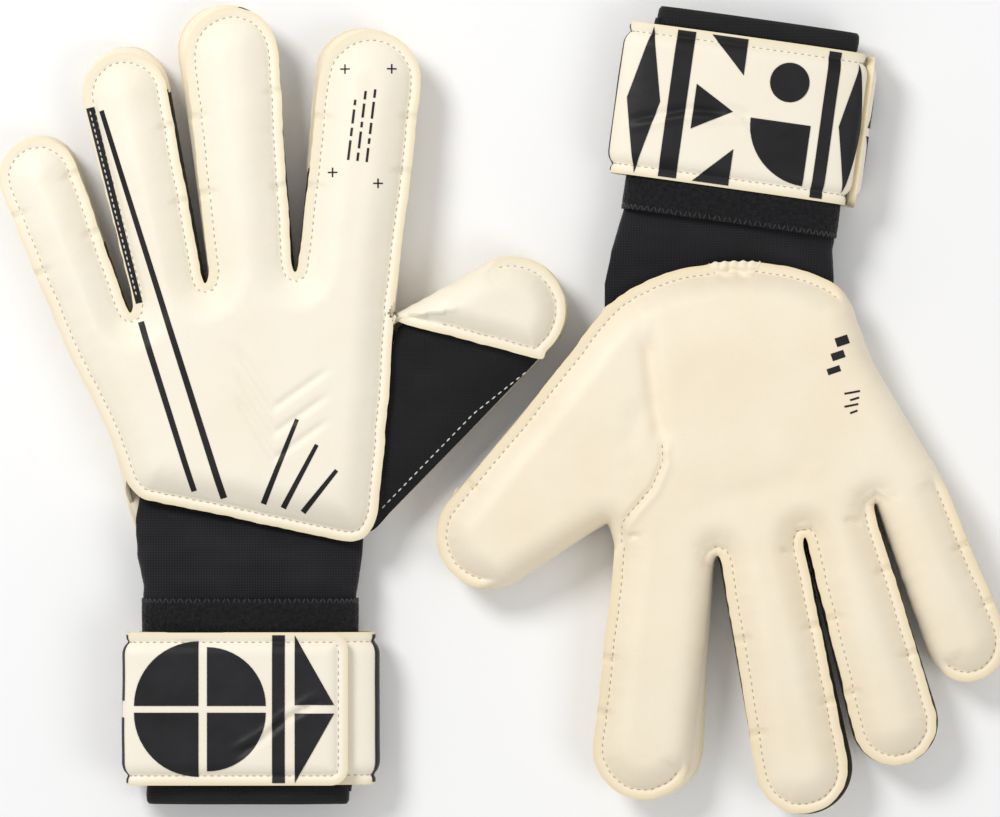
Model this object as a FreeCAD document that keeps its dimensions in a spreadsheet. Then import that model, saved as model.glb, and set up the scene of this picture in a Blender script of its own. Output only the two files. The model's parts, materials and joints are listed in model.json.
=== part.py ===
import FreeCAD, Part
import os

import Sketcher

# A pair of goalkeeper gloves that lies on a flat surface, z = 0. The left glove lies palm down with its
# fingers towards +Y; the right one lies palm up with its fingers towards -Y.
# Each glove is drawn in a frame of its own: origin at the wrist, +X towards the thumb, +Y towards the
# fingers, z = 0 on the surface. The right glove's frame is turned half a turn about Z.

GLOVES = ("left", "right")
FINGERS = ("index", "middle", "ring", "little")
DIGITS = ("thumb",) + FINGERS

# Driving dimensions, in millimetres and degrees.
SIZES = {
    # foams, cloths and heights
    "palm_foam": 4.0,
    "back_foam": 4.0,
    "glove_height": 26.0,
    "cloth": 1.2,
    "edge_round": 1.5,
    "hinge_gap": 0.4,
    "play": 0.5,
    # digits: length from the knuckle, width at the knuckle and width at the tip
    "thumb_length": 54.6,
    "thumb_base": 48.1,
    "thumb_tip": 38.0,
    "index_length": 90.0,
    "index_base": 35.5,
    "index_tip": 36.0,
    "middle_length": 95.0,
    "middle_base": 29.5,
    "middle_tip": 33.0,
    "ring_length": 89.0,
    "ring_base": 25.5,
    "ring_tip": 30.0,
    "little_length": 75.0,
    "little_base": 25.0,
    "little_tip": 28.0,
    # hand
    "wrist_half": 42.0,
    "palm_edge_thumb": 28.0,
    "palm_edge_little": 24.0,
    "palm_edge_radius": 80.0,
    "back_edge_thumb": 19.0,
    "back_edge_little": 36.5,
    "wrist_hinge": 12.0,
    "lining_length": 28.0,
    "elastic_width": 22.0,
    "elastic_depth": 6.0,
    "elastic_foam": 0.9,
    # cuff
    "sleeve_slack": 5.1,
    "sleeve_rise": 4.5,
    "sleeve_wall": 1.0,
    "sleeve_top": 18.0,
    "sleeve_length": 38.0,
    "band_slack": 3.3,
    "band_wall": 1.2,
    "band_top": -2.0,
    "hem_step": 1.5,
    "hem_length": 6.0,
    "hem_proud": 0.5,
    # strap
    "strap_top": -11.5,
    "strap_width": 54.0,
    "strap_foam": 3.2,
    "strap_slack": 3.8,
    "strap_clear": 0.5,
    "strap_corner": 5.0,
    "flap_root_inset": 5.5,
    "flap_tip_inset": 9.5,
    "patch_length": 27.0,
    "patch_inset": 3.0,
    "window_inset": 7.0,
    "window_to_patch": 11.0,
    "patch_pile": 0.4,
    "patch_gap": 0.1,
    "patch_margin": 5.0,
    # where each glove lies, and how its cuff and digits are turned: the index finger's knuckle, the
    # thumb's crotch and its heel have a place, and each further finger starts a gap from the one before.
    # The gloves lie thumb beside thumb, so each one also stands off by its thumb's width along Y
    "left_x": -88.75,
    "left_y": -116.1,
    "left_cuff_turn": 0.0,
    "left_waist_x": -49.0,
    "left_waist_y": 56.0,
    "left_index_x": 34.5,
    "left_index_y": 112.5,
    "left_index_turn": -6.7,
    "left_middle_gap_x": -1.68,
    "left_middle_gap_y": 2.22,
    "left_middle_turn": 5.0,
    "left_ring_gap_x": -1.66,
    "left_ring_gap_y": -4.45,
    "left_ring_turn": 12.5,
    "left_little_gap_x": -1.28,
    "left_little_gap_y": -5.26,
    "left_little_turn": 21.0,
    "left_thumb_x": 50.2,
    "left_thumb_y": 99.8,
    "left_thumb_turn": -52.0,
    "left_heel_x": 45.0,
    "left_heel_y": 26.0,
    "right_x": 81.3,
    "right_y": 114.1,
    "right_cuff_turn": -8.0,
    "right_waist_x": -51.0,
    "right_waist_y": 50.0,
    "right_index_x": 22.5,
    "right_index_y": 115.5,
    "right_index_turn": -6.2,
    "right_middle_gap_x": -1.85,
    "right_middle_gap_y": 1.77,
    "right_middle_turn": 10.5,
    "right_ring_gap_x": -0.71,
    "right_ring_gap_y": -3.9,
    "right_ring_turn": 15.5,
    "right_little_gap_x": -0.04,
    "right_little_gap_y": -5.11,
    "right_little_turn": 21.0,
    "right_thumb_x": 42.2,
    "right_thumb_y": 105.5,
    "right_thumb_turn": -48.0,
    "right_heel_x": 42.2,
    "right_heel_y": 31.5,
    # middle of the pair's bounding box in the frames above; worked out below
    "pair_x": 0.0,
    "pair_y": 0.0,
}

doc = FreeCAD.newDocument("goalkeeper_gloves")
sheet = doc.addObject("Spreadsheet::Sheet", "Sizes")
cells = {}
for row, (alias, value) in enumerate(SIZES.items(), start=1):
    sheet.set(f"A{row}", alias)
    sheet.set(f"B{row}", str(value))
    sheet.setAlias(f"B{row}", alias)
    cells[alias] = f"B{row}"
doc.recompute()
parts = []


def size(alias):
    """The expression that reads a driving dimension."""
    return f"Sizes.{alias}"


def number(expression):
    """What an expression comes to now."""
    value = sheet.evalExpression(expression)
    return float(getattr(value, "Value", value))


# Heights that follow from the driving dimensions.
INSIDE = f"({size('glove_height')} - {size('palm_foam')} - {size('back_foam')})"
BAND_RISE = f"({size('sleeve_rise')} + {size('band_wall')})"
WRAP_RISE = f"({BAND_RISE} + {size('strap_foam')})"
LOOP_TOP = f"({WRAP_RISE} + {size('patch_pile')})"
HOOK_BOTTOM = f"({LOOP_TOP} + {size('patch_gap')})"
FLAP_BOTTOM = f"({HOOK_BOTTOM} + {size('patch_pile')})"

# Widths and lengths that follow: each tube of the cuff fits the one inside it.
LINING_HALF = f"({size('wrist_half')} - {size('cloth')} - {size('play')})"
SLEEVE_HALF = f"({LINING_HALF} - {size('cloth')} - {size('sleeve_slack')})"
BAND_HALF = f"({SLEEVE_HALF} + {size('band_slack')} + {size('band_wall')})"
HEM_HALF = f"({BAND_HALF} - {size('hem_step')})"
STRAP_HALF = f"({BAND_HALF} + {size('strap_slack')} + {size('strap_foam')})"
FLAP_FROM = f"({size('flap_root_inset')} - {STRAP_HALF})"
FLAP_TO = f"({STRAP_HALF} - {size('flap_tip_inset')})"
PATCH_TO = f"({FLAP_TO} - {size('patch_inset')})"
PATCH_FROM = f"({PATCH_TO} - {size('patch_length')})"
BAND_LENGTH = f"({size('band_top')} - {size('strap_top')} + {size('strap_width')} + {size('strap_clear')})"


def lower_foam(glove):
    """The foam of the panel that this glove lies on."""
    return size("palm_foam") if glove == "left" else size("back_foam")


def middle_height(glove):
    return f"({lower_foam(glove)} + {INSIDE} / 2)"


# Document helpers


def new_body(name):
    body = doc.addObject("PartDesign::Body", name)
    body.Label = name
    parts.append(body)
    return body


def new_sketch(body, plane="XY_Plane"):
    sketch = body.newObject("Sketcher::SketchObject", body.Name + "_sketch")
    found = [f for f in body.Origin.OriginFeatures if f.Role == plane]
    sketch.AttachmentSupport = [(found[0], "")]
    sketch.MapMode = "FlatFace"
    return sketch


def bind(sketch, kind, where, expression):
    """A dimension of a sketch that follows an expression."""
    index = sketch.addConstraint(Sketcher.Constraint(kind, *where, number(expression)))
    name = f"size_{index}"
    sketch.renameConstraint(index, name)
    sketch.setExpression("Constraints." + name, expression)


def pin(sketch, geometry, point, x, y):
    """Holds a point of a sketch at x, y."""
    bind(sketch, "DistanceX", (-1, 1, geometry, point), x)
    bind(sketch, "DistanceY", (-1, 1, geometry, point), y)


def vector(x, y):
    return FreeCAD.Vector(number(x), number(y), 0)


def polygon(sketch, corners):
    """A closed outline of straight edges between corners."""
    points = [vector(x, y) for x, y in corners]
    edges = []
    for start, end in zip(points, points[1:] + points[:1]):
        edges.append(sketch.addGeometry(Part.LineSegment(start, end)))
    for before, after in zip(edges[-1:] + edges[:-1], edges):
        sketch.addConstraint(Sketcher.Constraint("Coincident", before, 2, after, 1))
    for edge, (x, y) in zip(edges, corners):
        pin(sketch, edge, 1, x, y)
    return edges


def set_by(feature, prop, expression):
    feature.setExpression(prop, expression)
    doc.recompute()


def pad(body, sketch, length):
    feature = body.newObject("PartDesign::Pad", body.Name + "_pad")
    feature.Profile = sketch
    feature.Length = number(length)
    set_by(feature, "Length", length)
    return feature


def round_edges(body, feature, wanted, radius):
    """Rounds the edges of a feature that the test picks."""
    names = [f"Edge{i}" for i, e in enumerate(feature.Shape.Edges, start=1) if wanted(e)]
    fillet = body.newObject("PartDesign::Fillet", body.Name + "_round")
    fillet.Base = (feature, names)
    fillet.Radius = number(radius)
    set_by(fillet, "Radius", radius)
    return fillet


def place(body, glove, x, y, z, turn="0"):
    """Puts a body in the pair's frame at a point of its glove's frame, turned about Z."""
    sign = "+" if glove == "left" else "-"
    half_turn = "0" if glove == "left" else "180"
    body.Placement = FreeCAD.Placement(FreeCAD.Vector(), FreeCAD.Rotation(FreeCAD.Vector(0, 0, 1), 1))
    body.setExpression("Placement.Base.x", f"{size(glove + '_x')} - {size('pair_x')} {sign} ({x})")
    from_middle = f"({y} + {size('thumb_base')})"
    body.setExpression("Placement.Base.y", f"{size(glove + '_y')} - {size('pair_y')} {sign} {from_middle}")
    body.setExpression("Placement.Base.z", z)
    body.setExpression("Placement.Rotation.Angle", f"{half_turn} + {turn}")


def on_level(edge, level):
    box = edge.BoundBox
    return abs(box.ZMin - level) < 1e-6 and abs(box.ZMax - level) < 1e-6


# Outlines


def digit_outline(sketch, digit):
    """Straight sides from the knuckle to a round tip, the knuckle line along X."""
    half, tip = f"({size(digit + '_base')} / 2 - {size('hinge_gap')})", f"{size(digit + '_tip')} / 2"
    gap, end = size("hinge_gap"), f"{size(digit + '_length')} - {size(digit + '_tip')} / 2"
    right, left = vector(half, gap), vector(f"-{half}", gap)
    high_right, high_left = vector(tip, end), vector(f"-{tip}", end)
    crown = vector("0", size(digit + "_length"))
    base = sketch.addGeometry(Part.LineSegment(left, right))
    side = sketch.addGeometry(Part.LineSegment(right, high_right))
    round_tip = sketch.addGeometry(Part.Arc(high_right, crown, high_left))
    other = sketch.addGeometry(Part.LineSegment(high_left, left))
    sketch.addConstraint(Sketcher.Constraint("Coincident", base, 2, side, 1))
    sketch.addConstraint(Sketcher.Constraint("Tangent", side, 2, round_tip, 1))
    sketch.addConstraint(Sketcher.Constraint("Tangent", round_tip, 2, other, 1))
    sketch.addConstraint(Sketcher.Constraint("Coincident", other, 2, base, 1))
    pin(sketch, base, 1, f"-{half}", gap)
    pin(sketch, base, 2, half, gap)
    pin(sketch, round_tip, 3, "0", end)
    bind(sketch, "Radius", (round_tip,), tip)


def knuckle(glove, digit, halves=0):
    """A point of a digit's knuckle line, in the glove's frame: its middle, or that many half widths
    towards the thumb. Each finger after the index one starts from the corner of the one before it, and
    the thumb starts from its crotch."""
    at, half = f"{glove}_{digit}", f"{size(digit + '_base')} / 2"
    turn = size(at + "_turn")
    if digit == "index":
        x, y, steps = size(at + "_x"), size(at + "_y"), halves
    elif digit == "thumb":
        x, y, steps = size(at + "_x"), size(at + "_y"), halves + 1
    else:
        before = knuckle(glove, FINGERS[FINGERS.index(digit) - 1], -1)
        x, y = f"{before[0]} + {size(at + '_gap_x')}", f"{before[1]} + {size(at + '_gap_y')}"
        steps = halves - 1
    return f"{x} + {steps} * {half} * cos({turn})", f"{y} + {steps} * {half} * sin({turn})"


def heel(glove):
    return size(glove + "_heel_x"), size(glove + "_heel_y")


def hand_outline(sketch, glove, role):
    """The hand between the wrist edge and the knuckle lines. The palm takes in the root of the thumb, and
    the back ends at the seam from the thumb's heel to its crotch."""
    half = size("wrist_half")
    corners = [(half, size(role + "_edge_thumb")), heel(glove)]
    if role == "palm":
        corners.append(knuckle(glove, "thumb", 1))
    corners.append(knuckle(glove, "thumb", -1))
    for finger in FINGERS:
        corners += [knuckle(glove, finger, 1), knuckle(glove, finger, -1)]
    corners.append((size(glove + "_waist_x"), size(glove + "_waist_y")))
    corners.append((f"-{half}", size(role + "_edge_little")))
    edges = polygon(sketch, corners)
    if role == "palm":
        # the wrist edge of the palm is a shallow arc instead of the last straight edge
        start, end = vector(*corners[-1]), vector(*corners[0])
        radius = number(size("palm_edge_radius"))
        across = end - start
        sag = radius - (radius**2 - (across.Length / 2) ** 2) ** 0.5
        bottom = (start + end) * 0.5 - FreeCAD.Vector(0, sag, 0)
        sketch.toggleConstruction(edges[-1])
        arc = sketch.addGeometry(Part.Arc(start, bottom, end))
        sketch.addConstraint(Sketcher.Constraint("Coincident", arc, 1, edges[-2], 2))
        sketch.addConstraint(Sketcher.Constraint("Coincident", arc, 2, edges[0], 1))
        bind(sketch, "Radius", (arc,), size("palm_edge_radius"))


def oval(sketch, half_width, half_height):
    """A flattened round section: two half circles joined by straight lines."""
    centre = f"{half_width} - {half_height}"
    x, y = number(centre), number(half_height)
    top = sketch.addGeometry(Part.LineSegment(FreeCAD.Vector(x, y, 0), FreeCAD.Vector(-x, y, 0)))
    left = Part.Arc(FreeCAD.Vector(-x, y, 0), FreeCAD.Vector(-x - y, 0, 0), FreeCAD.Vector(-x, -y, 0))
    right = Part.Arc(FreeCAD.Vector(x, -y, 0), FreeCAD.Vector(x + y, 0, 0), FreeCAD.Vector(x, y, 0))
    left = sketch.addGeometry(left)
    bottom = sketch.addGeometry(Part.LineSegment(FreeCAD.Vector(-x, -y, 0), FreeCAD.Vector(x, -y, 0)))
    right = sketch.addGeometry(right)
    for before, after in ((top, left), (left, bottom), (bottom, right), (right, top)):
        sketch.addConstraint(Sketcher.Constraint("Tangent", before, 2, after, 1))
    pin(sketch, left, 3, f"-({centre})", "0")
    pin(sketch, right, 3, centre, "0")
    bind(sketch, "Radius", (right,), half_height)


# Pieces


def digit_panel(glove, digit, role):
    foam = size(role + "_foam")
    level = "low" if (role == "palm") == (glove == "left") else "high"
    body = new_body(f"{glove}_{digit}_{role}_panel")
    sketch = new_sketch(body)
    digit_outline(sketch, digit)
    plate = pad(body, sketch, foam)
    face = 0.0 if level == "low" else number(foam)
    base = number(size("hinge_gap")) + 1e-3
    round_edges(body, plate, lambda e: on_level(e, face) and e.BoundBox.YMax > base, size("edge_round"))
    place_digit(body, glove, digit, "0" if level == "low" else f"{size('glove_height')} - {foam}")


def place_digit(body, glove, digit, height):
    x, y = knuckle(glove, digit)
    place(body, glove, x, y, height, size(f"{glove}_{digit}_turn"))


def digit_gusset(glove, digit):
    """The cloth wall round a digit between its two panels, open at the knuckle."""
    body = new_body(f"{glove}_{digit}_side_gusset")
    sketch = new_sketch(body)
    digit_outline(sketch, digit)
    block = pad(body, sketch, INSIDE)
    base = number(size("hinge_gap")) + 1e-3
    opened = []
    for index, face in enumerate(block.Shape.Faces, start=1):
        if face.BoundBox.ZLength < 1e-6 or face.BoundBox.YMax < base:
            opened.append(f"Face{index}")
    wall = body.newObject("PartDesign::Thickness", body.Name + "_wall")
    wall.Base = (block, opened)
    wall.Value = number(size("cloth"))
    wall.Reversed = True
    wall.Join = 1
    set_by(wall, "Value", size("cloth"))
    place_digit(body, glove, digit, lower_foam(glove))


def hand_panel(glove, role):
    foam = size(role + "_foam")
    level = "low" if (role == "palm") == (glove == "left") else "high"
    body = new_body(f"{glove}_{role}_panel")
    sketch = new_sketch(body)
    hand_outline(sketch, glove, role)
    plate = pad(body, sketch, foam)
    face = 0.0 if level == "low" else number(foam)
    free = [knuckle(glove, "little", -1), waist(glove), heel(glove)]
    free.append((f"-{size('wrist_half')}", size(role + "_edge_little")))
    free.append((size("wrist_half"), size(role + "_edge_thumb")))
    if role == "palm":
        free.append(knuckle(glove, "thumb", 1))
    round_free_edges(body, plate, face, free)
    place(body, glove, "0", "0", "0" if level == "low" else f"{size('glove_height')} - {foam}")


def round_free_edges(body, plate, face, corners):
    """Rounds the edges of a plate's outer face that join two of the corners."""
    corners = [vector(x, y) for x, y in corners]

    def free(edge):
        ends = [FreeCAD.Vector(v.X, v.Y, 0) for v in edge.Vertexes]
        known = [any((end - corner).Length < 1e-3 for corner in corners) for end in ends]
        return on_level(edge, face) and len(ends) == 2 and all(known)

    round_edges(body, plate, free, size("edge_round"))


def thumb_back_gusset(glove):
    """The cloth triangle on the back of the thumb's root."""
    foam = size("back_foam")
    level = "low" if glove == "right" else "high"
    body = new_body(f"{glove}_thumb_back_gusset")
    sketch = new_sketch(body)
    corners = [heel(glove), knuckle(glove, "thumb", 1), knuckle(glove, "thumb", -1)]
    polygon(sketch, corners)
    plate = pad(body, sketch, foam)
    round_free_edges(body, plate, 0.0 if level == "low" else number(foam), corners[:2])
    place(body, glove, "0", "0", "0" if level == "low" else f"{size('glove_height')} - {foam}")


def waist(glove):
    return size(glove + "_waist_x"), size(glove + "_waist_y")


def strip(name, glove, points, thick):
    """An upright cloth wall between the panels, along the points, thick along X."""
    body = new_body(name)
    sketch = new_sketch(body)
    inner = [(f"{x} + {thick}", y) for x, y in reversed(points)]
    polygon(sketch, points + inner)
    pad(body, sketch, INSIDE)
    place(body, glove, "0", "0", lower_foam(glove))


def hand(glove):
    hand_panel(glove, "palm")
    hand_panel(glove, "back")
    thumb_back_gusset(glove)
    wrist_corner = (f"-{size('wrist_half')}", size("back_edge_little"))
    side = [wrist_corner, waist(glove), knuckle(glove, "little", -1)]
    strip(f"{glove}_outer_side_gusset", glove, side, size("cloth"))
    thumb_side = [heel(glove), knuckle(glove, "thumb", 1)]
    strip(f"{glove}_thumb_root_gusset", glove, thumb_side, f"-{size('cloth')}")
    web = [knuckle(glove, "thumb", -1), knuckle(glove, "index", 1)]
    strip(f"{glove}_thumb_web", glove, web, f"-{size('cloth')}")


def tube(name, glove, half_width, half_height, wall, top, length, turn):
    """A flattened tube that runs from top towards the cuff's end, about the middle height."""
    body = new_body(name)
    sketch = new_sketch(body, "XZ_Plane")
    oval(sketch, half_width, half_height)
    oval(sketch, f"({half_width} - {wall})", f"({half_height} - {wall})")
    feature = pad(body, sketch, length)
    feature.Reversed = feature.Shape.BoundBox.YMax > 1e-6
    doc.recompute()
    place(body, glove, f"-({top}) * sin({turn})", f"({top}) * cos({turn})", middle_height(glove), turn)
    return body, feature


def block(name, glove, x_from, x_to, y_from, y_to, z_from, thick, turn="0", corner=None):
    """A flat rectangular piece. Its x, y are in the glove's frame before the cuff is turned."""
    body = new_body(name)
    sketch = new_sketch(body)
    polygon(sketch, [(x_from, y_from), (x_to, y_from), (x_to, y_to), (x_from, y_to)])
    feature = pad(body, sketch, thick)
    if corner:
        far = number(x_to) - 1e-3

        def free_corner(edge):
            box = edge.BoundBox
            return box.ZLength > 1e-3 and box.XMin > far

        round_edges(body, feature, free_corner, corner)
    place(body, glove, "0", "0", z_from, turn)
    return body


def stacked(glove, low, thick):
    """The height of a layer that starts low above the cuff's middle, on the side of the hand's back."""
    if glove == "left":
        return f"{middle_height(glove)} + {low}"
    return f"{middle_height(glove)} - {low} - {thick}"


def strap_wrap(glove):
    """The part of the strap that goes round the wrist, open under the root of its flap."""
    turn = size(f"{glove}_cuff_turn")
    body, ring = tube(
        f"{glove}_strap_wrap", glove, STRAP_HALF, WRAP_RISE, size("strap_foam"),
        size("strap_top"), size("strap_width"), turn,
    )
    whole = body.Shape.Volume
    sketch = body.newObject("Sketcher::SketchObject", body.Name + "_window_sketch")
    plane = [f for f in body.Origin.OriginFeatures if f.Role == "XY_Plane"][0]
    sketch.AttachmentSupport = [(plane, "")]
    sketch.MapMode = "FlatFace"
    below = f"-{size('strap_width')} - 1"
    left, right = f"{FLAP_FROM} + {size('window_inset')}", f"{PATCH_FROM} - {size('window_to_patch')}"
    polygon(sketch, [(left, below), (right, below), (right, "1"), (left, "1")])
    window = body.newObject("PartDesign::Pocket", body.Name + "_window")
    window.Profile = sketch
    window.Type = 1
    window.Reversed = glove == "left"
    doc.recompute()
    if not body.Shape.Volume < whole:
        raise RuntimeError(f"{body.Label}: the window cut nothing")


def cuff(glove):
    turn = size(f"{glove}_cuff_turn")
    lining_top = f"{size('wrist_hinge')} + {size('lining_length')}"
    tube(
        f"{glove}_wrist_lining", glove, LINING_HALF, f"{INSIDE} / 2", size("cloth"),
        lining_top, size("lining_length"), "0",
    )
    tube(
        f"{glove}_wrist_sleeve", glove, SLEEVE_HALF, size("sleeve_rise"), size("sleeve_wall"),
        size("sleeve_top"), size("sleeve_length"), "0",
    )
    tube(
        f"{glove}_wrist_band", glove, BAND_HALF, BAND_RISE, size("band_wall"),
        size("band_top"), BAND_LENGTH, turn,
    )
    proud = size("hem_proud")
    tube(
        f"{glove}_band_hem", glove, HEM_HALF, f"({BAND_RISE} + {proud})",
        f"({size('band_wall')} + {proud})", f"({size('band_top')} - {BAND_LENGTH})",
        size("hem_length"), turn,
    )
    # the gathered elastic lies on the lining, on the palm's side
    half, depth = f"{size('elastic_width')} / 2", size("elastic_depth")
    start = f"{size('sleeve_top')} + {size('play')}"
    inner = f"({INSIDE} / 2 - {size('cloth')})"
    if glove == "left":
        low = f"{middle_height(glove)} - {inner}"
    else:
        low = f"{middle_height(glove)} + {inner} - {size('elastic_foam')}"
    block(
        f"{glove}_palm_elastic", glove, f"-{half}", half, start, f"{start} + {depth}", low,
        size("elastic_foam"),
    )


def strap(glove):
    turn = size(f"{glove}_cuff_turn")
    top, width, margin = size("strap_top"), size("strap_width"), size("patch_margin")
    bottom = f"{top} - {width}"
    strap_wrap(glove)
    pile = size("patch_pile")
    for name, low in (("loop_patch", WRAP_RISE), ("hook_patch", HOOK_BOTTOM)):
        block(
            f"{glove}_{name}", glove, PATCH_FROM, PATCH_TO, f"{bottom} + {margin}",
            f"{top} - {margin}", stacked(glove, low, pile), pile, turn,
        )
    block(
        f"{glove}_strap_flap", glove, FLAP_FROM, FLAP_TO, bottom, top,
        stacked(glove, FLAP_BOTTOM, size("strap_foam")), size("strap_foam"), turn, size("strap_corner"),
    )


def centre_pair():
    """Puts the middle of the pair's bounding box on the Z axis."""
    box = FreeCAD.BoundBox()
    for body in parts:
        box.add(body.Shape.BoundBox)
    for alias, middle in (("pair_x", box.Center.x), ("pair_y", box.Center.y)):
        sheet.set(cells[alias], str(round(middle, 3)))
    doc.recompute()


def check_document():
    for item in doc.Objects:
        if "Invalid" in item.State or "Error" in item.State:
            raise RuntimeError(f"{item.Label} did not build: {item.State}")
    for body in parts:
        shape = body.Shape
        if shape.isNull() or not shape.isValid() or shape.Volume <= 0:
            raise RuntimeError(f"{body.Label} has no valid solid")


for side in GLOVES:
    hand(side)
    for each in DIGITS:
        digit_panel(side, each, "palm")
        digit_panel(side, each, "back")
        digit_gusset(side, each)
    cuff(side)
    strap(side)
doc.recompute()
centre_pair()
check_document()

os.makedirs("parts", exist_ok=True)
for body in parts:
    body.Shape.exportStep(f"parts/{body.Label}.step")
print(len(parts), "parts, pair centred from", sheet.get("pair_x"), sheet.get("pair_y"))
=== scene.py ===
import json
import math

import bmesh
import bpy
import numpy as np
from mathutils import Matrix, Vector, noise
from mathutils.bvhtree import BVHTree


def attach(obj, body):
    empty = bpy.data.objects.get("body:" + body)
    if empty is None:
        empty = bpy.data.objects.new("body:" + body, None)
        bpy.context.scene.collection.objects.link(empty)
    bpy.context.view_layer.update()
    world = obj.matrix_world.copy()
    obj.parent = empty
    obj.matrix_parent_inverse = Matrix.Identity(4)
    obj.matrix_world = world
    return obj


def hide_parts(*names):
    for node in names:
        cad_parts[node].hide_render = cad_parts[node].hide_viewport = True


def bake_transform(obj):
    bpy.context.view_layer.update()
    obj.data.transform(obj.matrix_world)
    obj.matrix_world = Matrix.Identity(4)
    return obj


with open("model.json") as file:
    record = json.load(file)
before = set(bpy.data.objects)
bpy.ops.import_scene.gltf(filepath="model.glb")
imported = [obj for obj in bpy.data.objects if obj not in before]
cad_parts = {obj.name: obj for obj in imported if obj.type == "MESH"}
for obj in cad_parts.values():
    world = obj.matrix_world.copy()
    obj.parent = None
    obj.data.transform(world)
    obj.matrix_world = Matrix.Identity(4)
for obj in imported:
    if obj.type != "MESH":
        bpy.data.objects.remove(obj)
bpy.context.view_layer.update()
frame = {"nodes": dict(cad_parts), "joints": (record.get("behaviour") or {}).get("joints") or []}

# A pair of goalkeeper gloves lying flat. Each glove is cut and sewn in its own flat frame, in millimetres:
# origin at the wrist, +X towards the thumb, +Y towards the fingers, z = 0 on the floor. LAID puts it down.

SIDES = ("left", "right")
FINGERS = ("index", "middle", "ring", "little")
DIGITS = ("thumb",) + FINGERS
UPPER = {"left": "back", "right": "palm"}
LOWER = {"left": "palm", "right": "back"}
HEIGHT = 26.0
MID_HEIGHT = HEIGHT / 2
FOAM_TOP = HEIGHT - 0.3
LATEX = 2.4
CLOTH = 1.4
POINT_STEP = 1.3
# how far apart the points inside a panel are, and how far inside its edge the stitches run
PITCH = {"upper": 0.95, "lower": 1.7}
STITCH_INSET = 3.4
STITCH_CLEAR = 3.2

# length from the knuckle, width at the knuckle, width at the tip
DIGIT_CUT = {
    "thumb": (54.6, 48.1, 38.0),
    "index": (90.0, 35.5, 36.0),
    "middle": (95.0, 29.5, 33.0),
    "ring": (89.0, 25.5, 30.0),
    "little": (73.6, 25.0, 28.0),
}
# how far the lower panel of a digit lies to the thumb's side of the upper one, and how much further out
LOWER_SHIFT = {
    "left": {
        "thumb": (0.8, 0.6),
        "index": (-3.2, 1.0),
        "middle": (-3.6, 1.5),
        "ring": (1.2, 2.4),
        "little": (1.0, 0.6),
    },
    "right": {
        "thumb": (0.5, -0.5),
        "index": (-4.2, -1.0),
        "middle": (-2.6, 0.0),
        "ring": (-0.6, -0.5),
        "little": (-1.2, 0.0),
    },
}
HEEL = {"left": (45.0, 26.0), "right": (42.2, 31.5)}
WAIST = {"left": (-48.6, 57.0), "right": (-50.0, 48.0)}
WRIST_HALF = 42.0
PALM_WRIST = (28.0, 24.0, 80.0)
BACK_WRIST = (19.0, 36.5)
WRIST_LINE = 12.0
CUFF_TURN = {"left": 0.0, "right": -8.0}
# the seam of the latex thumb cap, in the thumb's own frame: across, along
CAP_SEAM = ((-23.5, -0.5), (21.5, 33.6))

joints = {joint["name"]: joint for joint in frame["joints"]}


def role_of(side, level):
    """Whether the upper or lower panel of a glove is its palm or its back."""
    return (UPPER if level == "upper" else LOWER)[side]


def level_of(side, role):
    return "upper" if UPPER[side] == role else "lower"


def origin_of(side):
    wrist = joints[side + "_wrist"]["pos_m"]
    ahead = WRIST_LINE / 1000 * (1 if side == "left" else -1)
    return Vector((wrist[0], wrist[1] - ahead, 0))


LAID = {
    side: Matrix.Translation(origin_of(side))
    @ Matrix.Rotation(0 if side == "left" else math.pi, 4, "Z")
    @ Matrix.Scale(0.001, 4)
    for side in SIDES
}
CUFF = {side: LAID[side] @ Matrix.Rotation(math.radians(CUFF_TURN[side]), 4, "Z") for side in SIDES}


def digit_frame(side, digit):
    """A digit's knuckle, its across direction (towards the thumb) and its along direction."""
    joint = joints[f"{side}_{digit}_knuckle"]
    base = LAID[side].inverted() @ Vector(joint["pos_m"])
    x, y = joint["axis"][0], joint["axis"][1]
    return np.array(base[:2]), np.array([-x, -y]), np.array([y, -x])


DIGIT = {side: {digit: digit_frame(side, digit) for digit in DIGITS} for side in SIDES}


# ---- patterns: the flat outlines that the panels are cut to ----


def evenly(points, count):
    """count points evenly along an open line, without its last one."""
    points = np.asarray(points, float)
    run = np.concatenate([[0], np.cumsum(np.linalg.norm(np.diff(points, axis=0), axis=1))])
    at = np.linspace(0, run[-1], count, endpoint=False)
    return np.stack([np.interp(at, run, points[:, k]) for k in (0, 1)], 1)


def line_length(points):
    return np.linalg.norm(np.diff(np.asarray(points, float), axis=0), axis=1).sum()


def digit_line(side, digit, level):
    """From the knuckle's thumb side round the tip to its other side."""
    base, across, along = DIGIT[side][digit]
    length, wide, tip = DIGIT_CUT[digit]
    shift, longer = LOWER_SHIFT[side][digit] if level == "lower" else (0, 0)
    turn = np.linspace(0, np.pi, 33)
    u = np.concatenate([[wide / 2], tip / 2 * np.cos(turn), [-wide / 2]])
    v = np.concatenate([[1.0], length - tip / 2 + tip / 2 * np.sin(turn), [1.0]])
    u = u + shift * v / length
    v = v * (1 + longer / length)
    return base + u[:, None] * across + v[:, None] * along


def wrist_edge(side, level):
    """The panel's edge at the wrist, from the little finger's side to the thumb's."""
    if role_of(side, level) == "back":
        return np.array([(-WRIST_HALF, BACK_WRIST[1]), (WRIST_HALF, BACK_WRIST[0])])
    thumb_y, little_y, radius = PALM_WRIST
    x = np.linspace(-WRIST_HALF, WRIST_HALF, 33)
    chord = little_y + (thumb_y - little_y) * (x + WRIST_HALF) / (2 * WRIST_HALF)
    sag = np.sqrt(radius**2 - x**2) - math.sqrt(radius**2 - WRIST_HALF**2)
    return np.stack([x, chord - sag], 1)


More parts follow.
